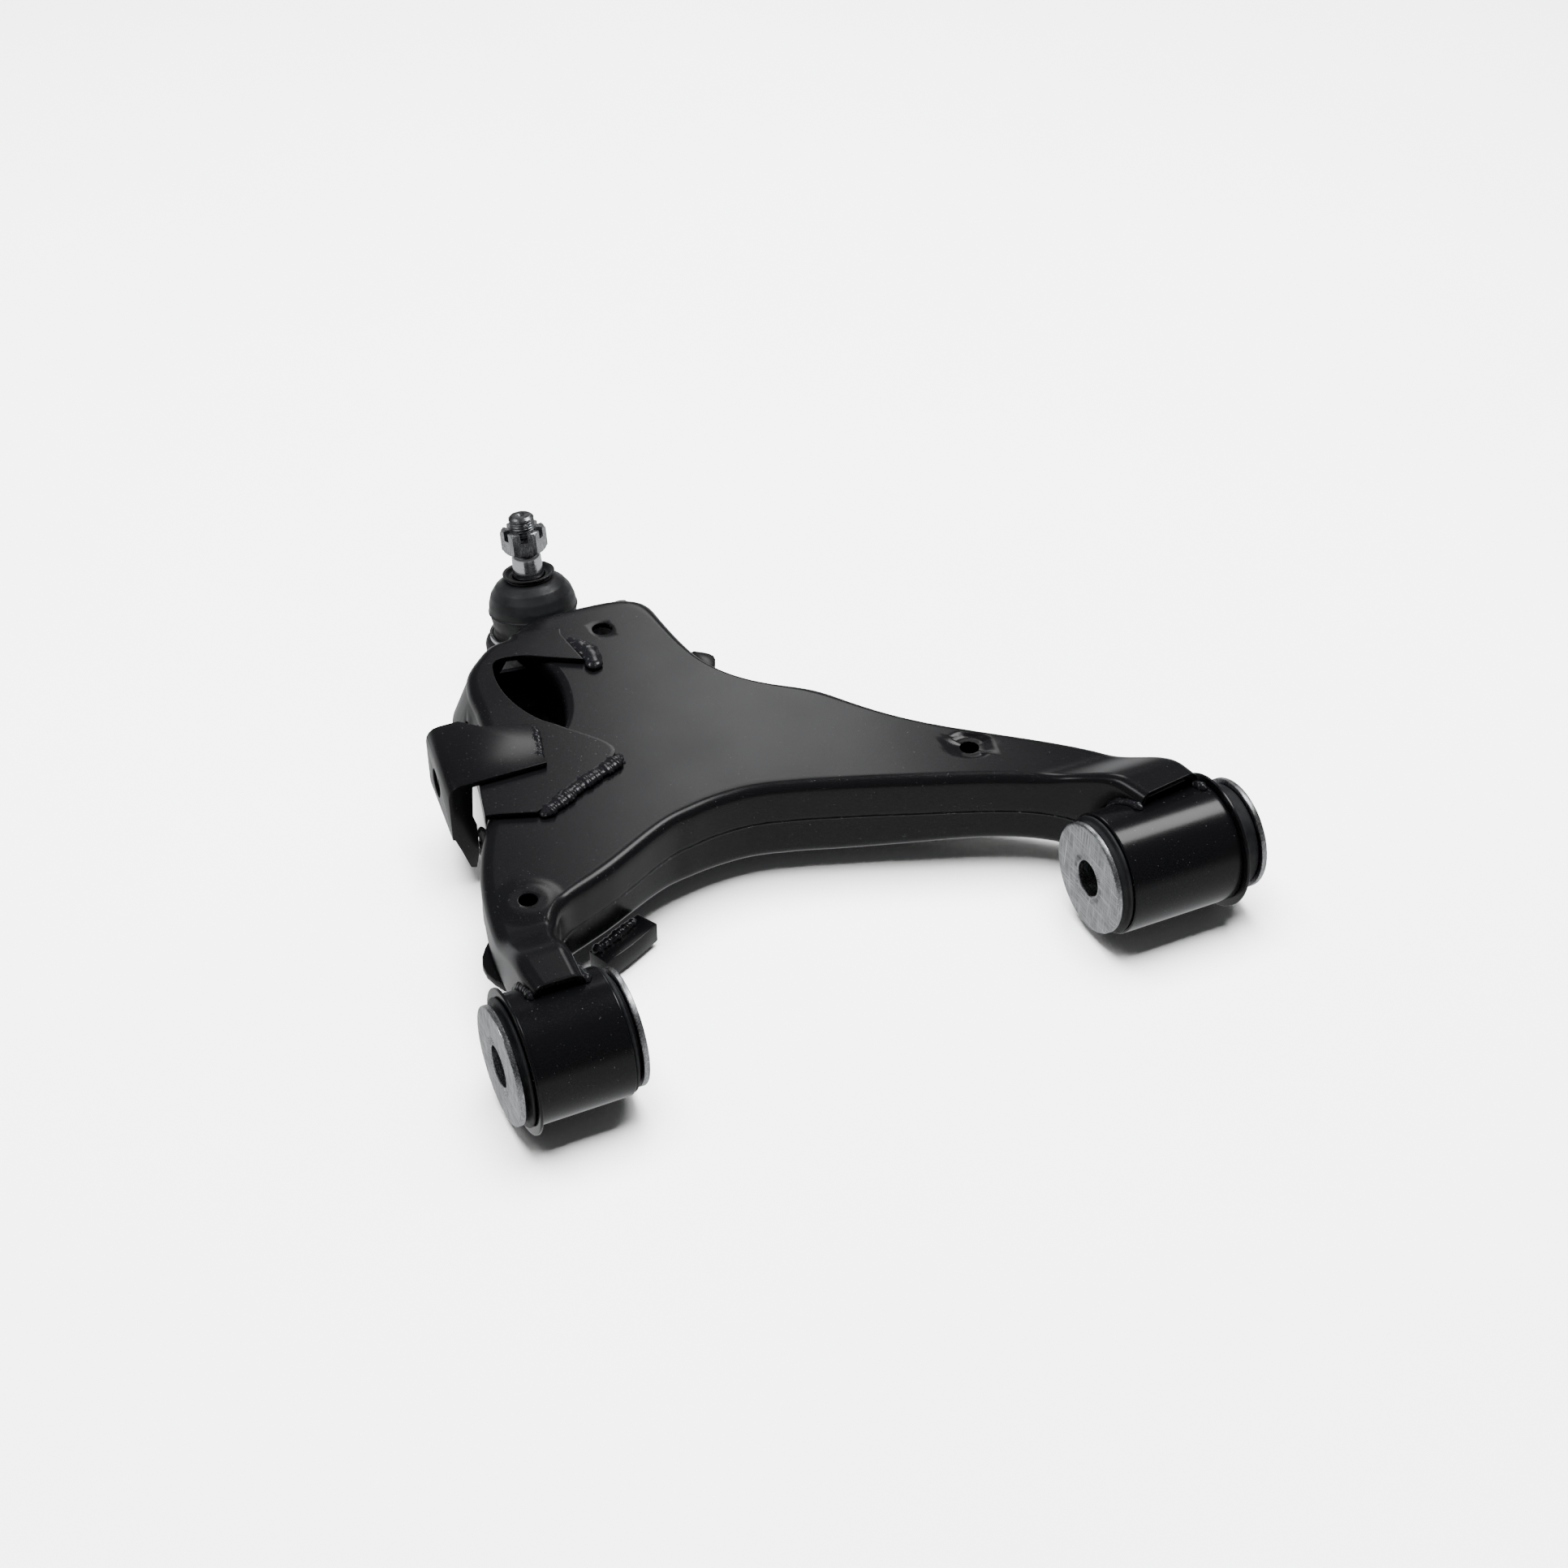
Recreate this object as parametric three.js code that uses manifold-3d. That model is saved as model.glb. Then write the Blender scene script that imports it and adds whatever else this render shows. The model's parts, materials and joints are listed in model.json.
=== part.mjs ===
// Front lower control arm, in millimetres: X runs along the bush pivot line from the front bush to
// the rear one, Y points out to the ball joint and Z is up. The arm stands on its bushes and on the
// ball joint housing, as it lies on a bench. Two pressed shells are lofted from pairs of edge points.
import * as THREE from 'three';
import Module from 'manifold-3d';
import { mergeVertices } from 'three/addons/utils/BufferGeometryUtils.js';

const wasm = await Module();
wasm.setup();

// ---- driving dimensions ----
const GAP = 0.3; // air kept between touching pieces
const SHEET = 3; // thickness of the pressed steel
const PIVOT_Z = 34.5; // height of the bush axis over the floor
const TOP_Z = 58.5; // top face of the arm
const SEAM_Z = 36.5; // lower edge of the upper shell's skirt
const FLOOR_PAN_Z = 14.5; // underside of the lower shell
const BEND_R = 6; // outer bend radius of the pressings
const HUMP_RISE = 13.5; // how far the arm ends rise to clear the bush tubes
const HUMP_FROM_Y = 58; // where that rise starts
const HUMP_TO_Y = 20; // where it ends

const DISC_R = 28.3;
const DISC_T = 3;
const TUBE_R = 30.8;
const TUBE_WALL = 3.2;
const CAN_WALL = 1.5;
const FLANGE_R = 34.5;
const SLEEVE_R = 13.5;
const FRONT_BUSH = { name: 'front_bush', x0: 0, x1: 62.3, flangeX: 7.2, sign: 1, bore: 10,
  tubeX: [9, 54.6], drain: { x: 36, r: 2.6 } };
const REAR_BUSH = { name: 'rear_bush', x0: 304.8, x1: 390.4, flangeX: 376.1, sign: -1, bore: 9.2,
  tubeX: [313.4, 374.3], drain: { x: 354, r: 3.9 } };

const BALL = new THREE.Vector3(137, 317.1, 19.9); // centre of the ball
const BALL_LEAN = 10; // degrees that the joint axis leans outboard
const BALL_R = 11.5;
const HOUSING_R = 29;

const CENTRE_X = 195.2; // middle of the whole part, moved to the origin
const CENTRE_Y = 156.23;

// ---- helpers ----
const rad = THREE.MathUtils.degToRad;
const clamp01 = (t) => Math.min(1, Math.max(0, t));
const smooth = (t) => clamp01(t) ** 2 * (3 - 2 * clamp01(t));
const v2 = (x, y) => new THREE.Vector2(x, y);

const paint = (colour, roughness, metalness) =>
  new THREE.MeshStandardMaterial({ color: colour, roughness, metalness });
const BLACK_COAT = paint(0x17181a, 0.32, 0.1);
const ZINC = paint(0xb9bcc0, 0.38, 0.9);
const RUBBER = paint(0x1b1b1c, 0.75, 0);
const BRIGHT = paint(0xc8cacc, 0.22, 1);
const FORGED = paint(0x2a2b2d, 0.6, 0.5);
const PLASTIC = paint(0xd8d4c6, 0.5, 0);

function toSolid(geometry) {
  const g = geometry.clone();
  g.deleteAttribute('normal');
  g.deleteAttribute('uv');
  const merged = mergeVertices(g, 1e-4);
  return new wasm.Manifold(new wasm.Mesh({
    numProp: 3,
    vertProperties: new Float32Array(merged.attributes.position.array),
    triVerts: new Uint32Array(merged.index.array),
  }));
}

function toGeometry(solid) {
  const mesh = solid.getMesh();
  const g = new THREE.BufferGeometry();
  g.setAttribute('position', new THREE.BufferAttribute(new Float32Array(mesh.vertProperties), 3));
  g.setIndex(new THREE.BufferAttribute(new Uint32Array(mesh.triVerts), 1));
  g.computeVertexNormals();
  return g;
}

// base geometry plus the added ones, less the cut ones
function carve(base, { add = [], cut = [] } = {}) {
  let solid = toSolid(base);
  for (const g of add) solid = solid.add(toSolid(g));
  for (const g of cut) solid = solid.subtract(toSolid(g));
  return toGeometry(solid);
}

function piece(name, geometry, material, parent) {
  const mesh = new THREE.Mesh(geometry, material);
  mesh.name = name;
  parent.add(mesh);
  return mesh;
}

// closed profile of [radius, height] points, wound so that the turned surface faces out
function lathe(profile, segments) {
  const points = profile.map(([r, h]) => v2(r, h));
  if (THREE.ShapeUtils.isClockWise(points)) points.reverse();
  return new THREE.LatheGeometry([...points, points[0].clone()], segments);
}

// turned round the Z axis
const turned = (profile, segments = 40) => lathe(profile, segments).rotateX(Math.PI / 2);

// turned round the bush pivot line, where the heights are X places
const turnedOnPivot = (profile, segments = 40) =>
  lathe(profile, segments).rotateZ(-Math.PI / 2).translate(0, 0, PIVOT_Z);

const ring = (rIn, rOut, a, b) => [[rIn, a], [rOut, a], [rOut, b], [rIn, b]];

function rod(radius, from, to, segments = 24) {
  const a = new THREE.Vector3(...from);
  const b = new THREE.Vector3(...to);
  const g = new THREE.CylinderGeometry(radius, radius, a.distanceTo(b), segments);
  const turn = new THREE.Quaternion().setFromUnitVectors(
    new THREE.Vector3(0, 1, 0), b.clone().sub(a).normalize());
  return g.applyQuaternion(turn).translate(...a.add(b).multiplyScalar(0.5).toArray());
}

const block = (x0, x1, y0, y1, z0, z1) => new THREE.BoxGeometry(x1 - x0, y1 - y0, z1 - z0)
  .translate((x0 + x1) / 2, (y0 + y1) / 2, (z0 + z1) / 2);

function slab(points, z0, z1) {
  const shape = new THREE.Shape(points.map(([x, y]) => v2(x, y)));
  return new THREE.ExtrudeGeometry(shape, { depth: z1 - z0, bevelEnabled: false }).translate(0, 0, z0);
}

// ---- the edge lines of the two pressings ----
// Each row is one station along the arm, from the front bush out to the ball joint and back to the
// rear bush: the point on the inner edge, the point on the outer edge of the upper shell.
const STATIONS = [
  [[45, 3], [20, 3]], [[45.5, 15], [19, 15]], [[46, 27], [19, 30]], [[46.5, 39], [20, 47]],
  [[49, 51], [21.5, 66]], [[54, 61], [25, 86]], [[62, 68], [31, 108]], [[74, 73], [41, 131]],
  [[88, 79], [57, 157]], [[103, 87], [80, 178]], [[118, 95], [103, 189]], [[130, 100], [113, 209]],
  [[140, 102], [118, 230]], [[148, 103.5], [118, 247]], [[155, 104.2], [112, 262]],
  [[161, 104.4], [109, 276]], [[166, 104.3], [115, 288]], [[171, 104], [129, 293.5]],
  [[177, 103], [156, 293.5]], [[183, 101.6], [178, 291]], [[188, 100], [189, 282]],
  [[193, 98.6], [191, 263]], [[198, 97], [193, 238]], [[204, 95], [198, 214]],
  [[212, 92], [211, 194]], [[223, 88], [226, 181]], [[236, 83], [240, 170]],
  [[251, 77], [254, 149]], [[269, 70], [273, 126]], [[288, 62], [297, 105]],
  [[305, 53], [323, 84]], [[317, 43], [345, 64]], [[325, 32], [358, 47]],
  [[330, 22], [366, 33]], [[333, 13], [369.5, 21]], [[335, 5], [371, 11]],
];
const OPENING_FROM = 6.9; // stations between which the outer edge runs along the strut opening
const OPENING_TO = 19.6;
// outer edge of the lower shell where it passes outside the strut opening and meets the housing
const LOWER_OUTER = [[41, 131], [47, 156], [54, 184], [60, 212], [63, 238], [69, 262], [80, 280],
  [96, 290], [112, 289], [130, 287], [148, 286], [165, 287]];
const LOWER_FROM = 7; // the station where that line leaves the upper shell's
const SAMPLES = 2; // lofted sections for each station

function spline(points) {
  const line = points.map(([x, y]) => new THREE.Vector3(x, y, 0));
  return new THREE.CatmullRomCurve3(line, false, 'centripetal');
}
const innerEdge = spline(STATIONS.map((s) => s[0]));
const upperOuter = spline(STATIONS.map((s) => s[1]));
const lowerOuter = spline(STATIONS.map((s, i) => LOWER_OUTER[i - LOWER_FROM] ?? s[1]));

const topHeight = (x, y) => TOP_Z + HUMP_RISE * smooth((HUMP_FROM_Y - y) / (HUMP_FROM_Y - HUMP_TO_Y));

// point on an edge line moved in from the edge: side is 1 on the inner edge and -1 on the outer one
function inset(curve, t, distance, side) {
  const p = curve.getPoint(t);
  const a = curve.getPoint(Math.max(0, t - 1e-3));
  const b = curve.getPoint(Math.min(1, t + 1e-3));
  const d = b.sub(a).normalize();
  return v2(p.x - side * d.y * distance, p.y + side * d.x * distance);
}

// strip sections joined into one solid with its faces out: a ring runs along the strip's outside and
// back along its inside
function loft(rings) {
  const n = rings[0].length;
  const positions = rings.flat().flatMap((p) => [p.x, p.y, p.z]);
  const index = [];
  const quad = (a, b, c, d) => index.push(a, b, c, a, c, d);
  for (let i = 0; i + 1 < rings.length; i++) {
    for (let k = 0; k < n; k++) {
      const a = i * n + k;
      const b = i * n + ((k + 1) % n);
      quad(a, b, b + n, a + n);
    }
  }
  const last = (rings.length - 1) * n;
  for (let k = 0; k + 1 < n / 2; k++) {
    const [a, b, c, d] = [k, k + 1, n - 2 - k, n - 1 - k];
    quad(a, d, c, b);
    quad(last + a, last + b, last + c, last + d);
  }
  const at = (i) => new THREE.Vector3().fromArray(positions, 3 * i);
  let volume = 0;
  for (let i = 0; i < index.length; i += 3) {
    volume += at(index[i]).dot(at(index[i + 1]).cross(at(index[i + 2])));
  }
  const g = new THREE.BufferGeometry();
  g.setAttribute('position', new THREE.Float32BufferAttribute(positions, 3));
  g.setIndex(volume < 0 ? index.reverse() : index);
  return g;
}

// quarter bend: [distance in from the edge, distance below the top] from the wall to the flat
function bend(radius, extra, steps) {
  const points = [];
  for (let k = 0; k <= steps; k++) {
    const a = (Math.PI / 2) * (k / steps);
    points.push([extra + radius * (1 - Math.cos(a)), extra + radius * (1 - Math.sin(a))]);
  }
  return points;
}

// one ring of a channel section that opens downwards: skirt, bend, flat, bend, skirt, and back inside
function channelRing(t, outerCurve, edge, topOf, skirtIn, skirtOut, up) {
  const outside = bend(BEND_R, 0, 2);
  const inside = bend(BEND_R - SHEET, SHEET, 2);
  const at = (curve, side, [d, below]) => {
    const p = inset(curve, t, edge + d, side);
    return new THREE.Vector3(p.x, p.y, topOf(p.x, p.y) - up * below);
  };
  const foot = (curve, side, d, z) => {
    const p = inset(curve, t, edge + d, side);
    return new THREE.Vector3(p.x, p.y, z);
  };
  return [
    foot(innerEdge, 1, 0, skirtIn), ...outside.map((q) => at(innerEdge, 1, q)),
    ...[...outside].reverse().map((q) => at(outerCurve, -1, q)), foot(outerCurve, -1, 0, skirtOut),
    foot(outerCurve, -1, SHEET, skirtOut), ...inside.map((q) => at(outerCurve, -1, q)),
    ...[...inside].reverse().map((q) => at(innerEdge, 1, q)), foot(innerEdge, 1, SHEET, skirtIn),
  ];
}

function channel(outerCurve, edge, topOf, footOf, up) {
  const rings = [];
  const count = (STATIONS.length - 1) * SAMPLES;
  for (let i = 0; i <= count; i++) {
    const t = i / count;
    rings.push(channelRing(t, outerCurve, edge, topOf, footOf(t, 0), footOf(t, 1), up));
  }
  return loft(rings);
}

// ---- the welded arm ----
const arm = new THREE.Group();
arm.position.set(-CENTRE_X, -CENTRE_Y, 0);

const tubeClearance = () => [FRONT_BUSH, REAR_BUSH].map((b) =>
  rod(TUBE_R + GAP, [b.tubeX[0] - 9, 0, PIVOT_Z], [b.tubeX[1] + 16, 0, PIVOT_Z], 48));

const housingClearance = () => {
  const lean = rad(BALL_LEAN);
  const end = (t) => [BALL.x, BALL.y + t * Math.sin(lean), BALL.z + t * Math.cos(lean)];
  return rod(HOUSING_R + GAP, end(-40), end(40), 48);
};

const HOLES = [
  { x: 157, y: 266, r: 5.7 },
  { x: 43, y: 73, r: 4.7 },
  { x: 288, y: 92, r: 5 },
];

function upperShell() {
  const foot = (t, side) => {
    const station = t * (STATIONS.length - 1);
    const open = side === 1 && station > OPENING_FROM && station < OPENING_TO;
    return open ? TOP_Z - 10 : SEAM_Z;
  };
  const body = channel(upperOuter, 0, topHeight, foot, 1);
  const holes = HOLES.map(({ x, y, r }) => rod(r, [x, y, TOP_Z - 12], [x, y, TOP_Z + 12]));
  return carve(body, { cut: [...tubeClearance(), ...holes] });
}
piece('upper_shell', upperShell(), BLACK_COAT, arm);

const PAN_DEEP = 4; // extra depth of the lower shell in its middle
const panHeight = (x, y) => FLOOR_PAN_Z
  - PAN_DEEP * smooth((x - 70) / 90) * smooth((300 - x) / 90) * smooth((y + 10) / 90);

// the outer wall stops short under the hoop
function lowerShell() {
  const rim = (t, side) => {
    const station = t * (STATIONS.length - 1);
    const underHoop = side === 1 && station > LOWER_FROM && station < OPENING_TO - 1;
    return underHoop ? HOOP_FOOT_Z - GAP : SEAM_Z + 6;
  };
  const body = channel(lowerOuter, SHEET + GAP, panHeight, rim, -1);
  const drains = [rod(6, [215, 140, 0], [215, 140, 20]), rod(6, [100, 130, 0], [100, 130, 20])];
  return carve(body, { cut: [...tubeClearance(), housingClearance(), ...drains] });
}

// C-shaped plate that laps the upper shell, carries on round the strut opening as a hoop and turns
// down outside it in a flared skirt
const LAP_Z = TOP_Z + GAP; // underside of what lies on the upper shell
const LAP_TOP = LAP_Z + SHEET;
const HOOP_OUTER = [[45, 138], [50, 160], [58, 182], [66, 203], [69.5, 222], [71.5, 241], [76, 255],
  [85, 266], [96, 275], [109, 277], [122, 276], [135, 272]];
const HOOP_INNER = [[69, 130], [94, 144], [122, 160], [105, 189], [96, 201], [90, 216], [87.5, 231],
  [88.5, 247], [93, 258], [107, 257], [121, 249], [136, 240]];
const HOOP_FLARE = 9; // how far the skirt stands out at its foot
const HOOP_FOOT_Z = 34;
const HOOP_SECTIONS = 32;
const STRUT_BOLT = { y: 228, z: 43, r: 6.5 };
const strutBoltHole = () =>
  rod(STRUT_BOLT.r, [40, STRUT_BOLT.y, STRUT_BOLT.z], [135, STRUT_BOLT.y, STRUT_BOLT.z]);
piece('lower_shell', lowerShell(), BLACK_COAT, arm);

function strutReinforcement() {
  const outer = spline(HOOP_OUTER);
  const inner = spline(HOOP_INNER);
  const r = BEND_R;
  const flatOut = [[0, -2.7], [0, 0], [0.25 * r, 0], [0.5 * r, 0], [0.75 * r, 0], [r, 0]];
  const bentOut = [[-HOOP_FLARE, HOOP_FOOT_Z - LAP_TOP],
    ...bend(r, 0, 4).map(([d, below]) => [d, -below])];
  const flatIn = [[0.4, -SHEET], [1, -SHEET], [2, -SHEET], [3, -SHEET], [4, -SHEET], [r, -SHEET]];
  const bentIn = [[SHEET - HOOP_FLARE, HOOP_FOOT_Z - LAP_TOP],
    ...bend(r - SHEET, SHEET, 4).map(([d, below]) => [d, -below])];
  const rings = [];
  for (let i = 0; i <= HOOP_SECTIONS; i++) {
    const t = i / HOOP_SECTIONS;
    const bent = smooth((t - 0.16) / 0.1) * smooth((0.84 - t) / 0.08);
    const at = (flat, folded) => flat.map(([d, z], k) => {
      const p = inset(outer, t, d + (folded[k][0] - d) * bent, -1);
      return new THREE.Vector3(p.x, p.y, LAP_TOP + z + (folded[k][1] - z) * bent);
    });
    const lip = inner.getPoint(t);
    rings.push([...at(flatOut, bentOut), new THREE.Vector3(lip.x, lip.y, LAP_TOP),
      new THREE.Vector3(lip.x, lip.y, LAP_Z), ...at(flatIn, bentIn).reverse()]);
  }
  return carve(loft(rings), { cut: [strutBoltHole()] });
}

piece('strut_reinforcement', strutReinforcement(), BLACK_COAT, arm);

// inner wall of the strut pocket, under the upper shell
const WEB_FROM = 10.3; // stations between which it follows the strut opening
const WEB_TO = 13.4;
const WEB_OFF = 3.6;

function strutPocketWeb() {
  const rings = [];
  for (let k = 0; k <= 8; k++) {
    const t = (WEB_FROM + (WEB_TO - WEB_FROM) * (k / 8)) / (STATIONS.length - 1);
    const near = inset(upperOuter, t, WEB_OFF, -1);
    const far = inset(upperOuter, t, WEB_OFF + SHEET, -1);
    const corner = (p, z) => new THREE.Vector3(p.x, p.y, z);
    const [low, high] = [FLOOR_PAN_Z + SHEET + GAP, TOP_Z - SHEET - 2.4];
    rings.push([corner(near, low), corner(near, high), corner(far, high), corner(far, low)]);
  }
  return carve(loft(rings), { cut: [strutBoltHole()] });
}
piece('strut_pocket_web', strutPocketWeb(), BLACK_COAT, arm);

const NUT_FACE_X = 125.2;
function strutWeldNut() {
  const hex = new THREE.CylinderGeometry(12.1, 12.1, 11, 6).rotateZ(Math.PI / 2)
    .translate(NUT_FACE_X + 5.5, STRUT_BOLT.y, STRUT_BOLT.z);
  const thread = rod(6, [NUT_FACE_X - 5, STRUT_BOLT.y, STRUT_BOLT.z],
    [NUT_FACE_X + 20, STRUT_BOLT.y, STRUT_BOLT.z]);
  return carve(hex, { cut: [thread] });
}
piece('strut_weld_nut', strutWeldNut(), FORGED, arm);

// ---- stabilizer bracket: top flange, slotted outer face and a near web in one folded sheet ----
const BRACKET = { z0: LAP_TOP + GAP, near: 161, far: 212, faceX: 34, footZ: 32, bendR: 7 };
const FLANGE_END = [[161, 86], [178, 87], [188, 89], [194, 90], [203, 66], [212, 57]]; // [y, x]

function stabilizerBracket() {
  const { z0, faceX, footZ, bendR, near } = BRACKET;
  const top = z0 + SHEET;
  const rings = FLANGE_END.map(([y, endX]) => {
    const x = faceX + 0.1 * (y - near);
    const corner = (px, pz) => new THREE.Vector3(px, y, pz);
    const outside = bend(bendR, 0, 4).map(([d, below]) => corner(x + d, top - below));
    const inside = bend(bendR - SHEET, SHEET, 4).map(([d, below]) => corner(x + d, top - below));
    return [corner(x, footZ), ...outside, corner(endX, top), corner(endX, z0), ...inside.reverse(),
      corner(x + SHEET, footZ)];
  });
  const outline = [[faceX + 0.4, top - bendR], [faceX + 2.5, top - 2.5], [faceX + bendR, top - 0.2],
    [47, top - 0.2], [45.5, 44], [47.2, 38], [47, 20], [45, 11], [42, 12], [38, 24], [faceX + 0.4, 34]];
  const web = slab(outline, -SHEET, 0).rotateX(Math.PI / 2).translate(0, near, 0);
  const linkHole = rod(7.6, [20, 193, 45], [60, 193, 45]);
  const slot = block(20, 60, 184.2, 185.8, 44, 53);
  return carve(loft(rings), { add: [web], cut: [linkHole, slot] });
}
piece('stabilizer_bracket', stabilizerBracket(), BLACK_COAT, arm);

// ---- small plates welded to the side walls ----
// A plate that follows an edge line between two stations. It starts `root` in from the edge and
// stands out by standOut(k), where k runs from 0 to 1 along it.
function alongEdge(curve, side, [from, to], root, standOut, z0, z1) {
  const rings = [];
  for (let i = 0; i <= 6; i++) {
    const t = (from + ((to - from) * i) / 6) / (STATIONS.length - 1);
    const p = inset(curve, t, root, side);
    const q = inset(curve, t, root - standOut(i / 6), side);
    const corners = [[p, z0], [p, z1], [q, z1], [q, z0]];
    rings.push(corners.map(([c, z]) => new THREE.Vector3(c.x, c.y, z)));
  }
  return loft(rings);
}
const gusset = alongEdge(innerEdge, 1, [6.95, 9.15], SHEET, () => 12.5, 2.8, FLOOR_PAN_Z - 0.5);
piece('gusset_plate', gusset, BLACK_COAT, arm);
const sideLug = alongEdge(lowerOuter, -1, [5.87, 6.9], SHEET, (k) => 3 + 3 * k, 22, 27);
piece('side_lug', sideLug, BLACK_COAT, arm);
const lens = (k) => 1 + 6.5 * Math.sin(Math.PI * k);
const stopLug = alongEdge(lowerOuter, -1, [3.45, 5.2], SHEET, lens, 24, 28);
piece('stop_lug', stopLug, BLACK_COAT, arm);
const rearLug = alongEdge(upperOuter, -1, [22.1, 22.9], -2 * GAP, (k) => 3 + lens(k), 46, 51);
piece('rear_lug', rearLug, BLACK_COAT, arm);

// ---- bushes ----
function bushTube({ tubeX: [a, b], drain: { x, r } }) {
  const tube = turnedOnPivot(ring(TUBE_R - TUBE_WALL, TUBE_R, a, b));
  return carve(tube, { cut: [rod(r, [x, 0, PIVOT_Z], [x, -24, PIVOT_Z - 36], 16)] });
}

function bushCan({ tubeX: [a, b], flangeX, sign }) {
  const rOut = TUBE_R - TUBE_WALL - GAP;
  const rIn = rOut - CAN_WALL;
  const end = sign > 0 ? b - 1 : a + 1;
  const back = flangeX + sign * CAN_WALL;
  return turnedOnPivot([[rIn, flangeX], [FLANGE_R, flangeX], [FLANGE_R, back], [rOut, back], [rOut, end],
    [rIn, end]], 48);
}

// rubber bonded between can and sleeve, with a lip behind each end disc
function bushRubber({ x0, x1, tubeX: [a, b], flangeX, sign }) {
  const rOut = TUBE_R - TUBE_WALL - GAP - CAN_WALL - GAP;
  const rIn = SLEEVE_R + GAP;
  const [left, right] = [x0 + DISC_T + GAP, x1 - DISC_T - GAP];
  const [lipEnd, cuffEnd] = sign > 0 ? [flangeX - GAP, b + GAP] : [flangeX + GAP, a - GAP];
  const outerEnd = sign > 0 ? left : right;
  const innerEnd = sign > 0 ? right : left;
  return turnedOnPivot([[rIn, outerEnd], [28.6, outerEnd], [30.6, lipEnd - sign * 1.2], [30, lipEnd],
    [rOut, lipEnd], [rOut, cuffEnd], [28.8, cuffEnd], [30.2, cuffEnd + sign * 1.4], [27.4, innerEnd],
    [rIn, innerEnd]]);
}

const bushSleeve = ({ x0, x1, bore }) =>
  turnedOnPivot(ring(bore, SLEEVE_R, x0 + DISC_T + GAP, x1 - DISC_T - GAP));

function endDisc({ bore }, x, outward) {
  const [a, b] = outward > 0 ? [x, x + DISC_T] : [x + DISC_T, x];
  const edge = outward * 0.7;
  return turnedOnPivot([[bore, a], [DISC_R, a], [DISC_R, b - edge], [DISC_R - 0.7, b], [bore, b]]);
}

for (const bush of [FRONT_BUSH, REAR_BUSH]) {
  piece(`${bush.name}_tube`, bushTube(bush), BLACK_COAT, arm);
  piece(`${bush.name}_can`, bushCan(bush), BLACK_COAT, arm);
  piece(`${bush.name}_rubber`, bushRubber(bush), RUBBER, arm);
  piece(`${bush.name}_sleeve`, bushSleeve(bush), ZINC, arm);
  piece(`${bush.name}_front_disc`, endDisc(bush, bush.x0, -1), ZINC, arm);
  piece(`${bush.name}_rear_disc`, endDisc(bush, bush.x1 - DISC_T, 1), ZINC, arm);
}

// ---- ball joint: heights are along its own axis, from the centre of the ball ----
const joint = new THREE.Group();
joint.position.copy(BALL);
joint.rotation.x = -rad(BALL_LEAN);
arm.add(joint);

const HOUSING = { low: -16, high: 9, step: 13, stepR: 21.4 };
const BOOT = { equator: 25.2, equatorR: 24.9, lip: 46.8 };
const STUD = { shoulder: 57.5, tip: 80.4, threadR: 7 };
const NUT = { low: 59.9, high: 73, flats: 22, slot: 4.2, slotDepth: 5.1 };

function ballJointHousing() {
  const body = turned([[18.6, HOUSING.low], [23.5, HOUSING.low], [HOUSING_R, HOUSING.low + 4],
    [HOUSING_R, HOUSING.high - 1.5], [HOUSING_R - 1.5, HOUSING.high], [HOUSING.stepR, HOUSING.high],
    [HOUSING.stepR, HOUSING.step], [14.6, HOUSING.step], [12.4, HOUSING.step - 4.5], [15.5, 5.5],
    [15.5, -13], [18.6, -13]]);
  const ear = slab([[18, -14], [24, -21], [50, -21], [51, -14], [48, -6], [30, 4], [20, 8]], -10, 6);
  const lumps = [[24, -8], [50, -8], [50.5, 20], [48, 24], [41, 24.5], [38, 22], [35, 24.5], [28, 24.5],
    [24, 20]];
  const wall = slab(lumps, 0, 5.5).rotateX(Math.PI / 2).translate(0, -15.4, 0);
  return carve(body, { add: [ear, wall] });
}
piece('ball_joint_housing', ballJointHousing(), FORGED, joint);

function ballSeat() {
  const rIn = BALL_R + GAP;
  const cup = [];
  for (let k = 1; k <= 8; k++) {
    const a = -Math.PI / 2 + (k / 8) * (Math.PI / 2 + 0.42);
    cup.push([rIn * Math.cos(a), rIn * Math.sin(a)]);
  }
  return turned([[0, -12.8], [15.2, -12.8], [15.2, 5], [11.2, 5], ...cup.reverse(), [0, -rIn]], 32);
}
piece('ball_seat', ballSeat(), PLASTIC, joint);
const cover = [[0, HOUSING.low + 0.4], [18.3, HOUSING.low + 0.4], [18.3, -13.3], [0, -13.3]];
piece('housing_cover', turned(cover, 32), FORGED, joint);
piece('boot_clip', turned(ring(24.3, 26, HOUSING.high + 0.5, HOUSING.high + 3.6)), BRIGHT, joint);

// dust boot: skirt below the mould line, dome above it, and the flared lip that grips the stud
const BOOT_SKIRT = [[HOUSING.stepR + GAP, 9.3], [24, 9.3], [24, 13.2], [23.4, 13.8], [24, 19],
  [BOOT.equatorR, BOOT.equator - 0.2], [23.1, BOOT.equator - 0.2], [22.2, 19],
  [HOUSING.stepR + GAP, 13.8]];
const BOOT_DOME = [[BOOT.equatorR, BOOT.equator + 0.1], [24.3, 30.2], [22, 35.7], [18.4, 39.8], [14.4, 42.6],
  [11.6, 42.6], [12.4, 41], [16.6, 38.2], [20.2, 34.6], [22.4, 29.8], [23.1, BOOT.equator + 0.1]];
const BOOT_LIP = [[9.2, 43], [12.8, 43], [12.4, 44.5], [14.6, 45.9], [14.6, BOOT.lip], [12.6, 46.5],
  [10.6, 44.9], [9.2, 44.7]];
piece('boot_skirt', turned(BOOT_SKIRT, 32), RUBBER, joint);
piece('boot_dome', turned(BOOT_DOME, 32), RUBBER, joint);
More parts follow.
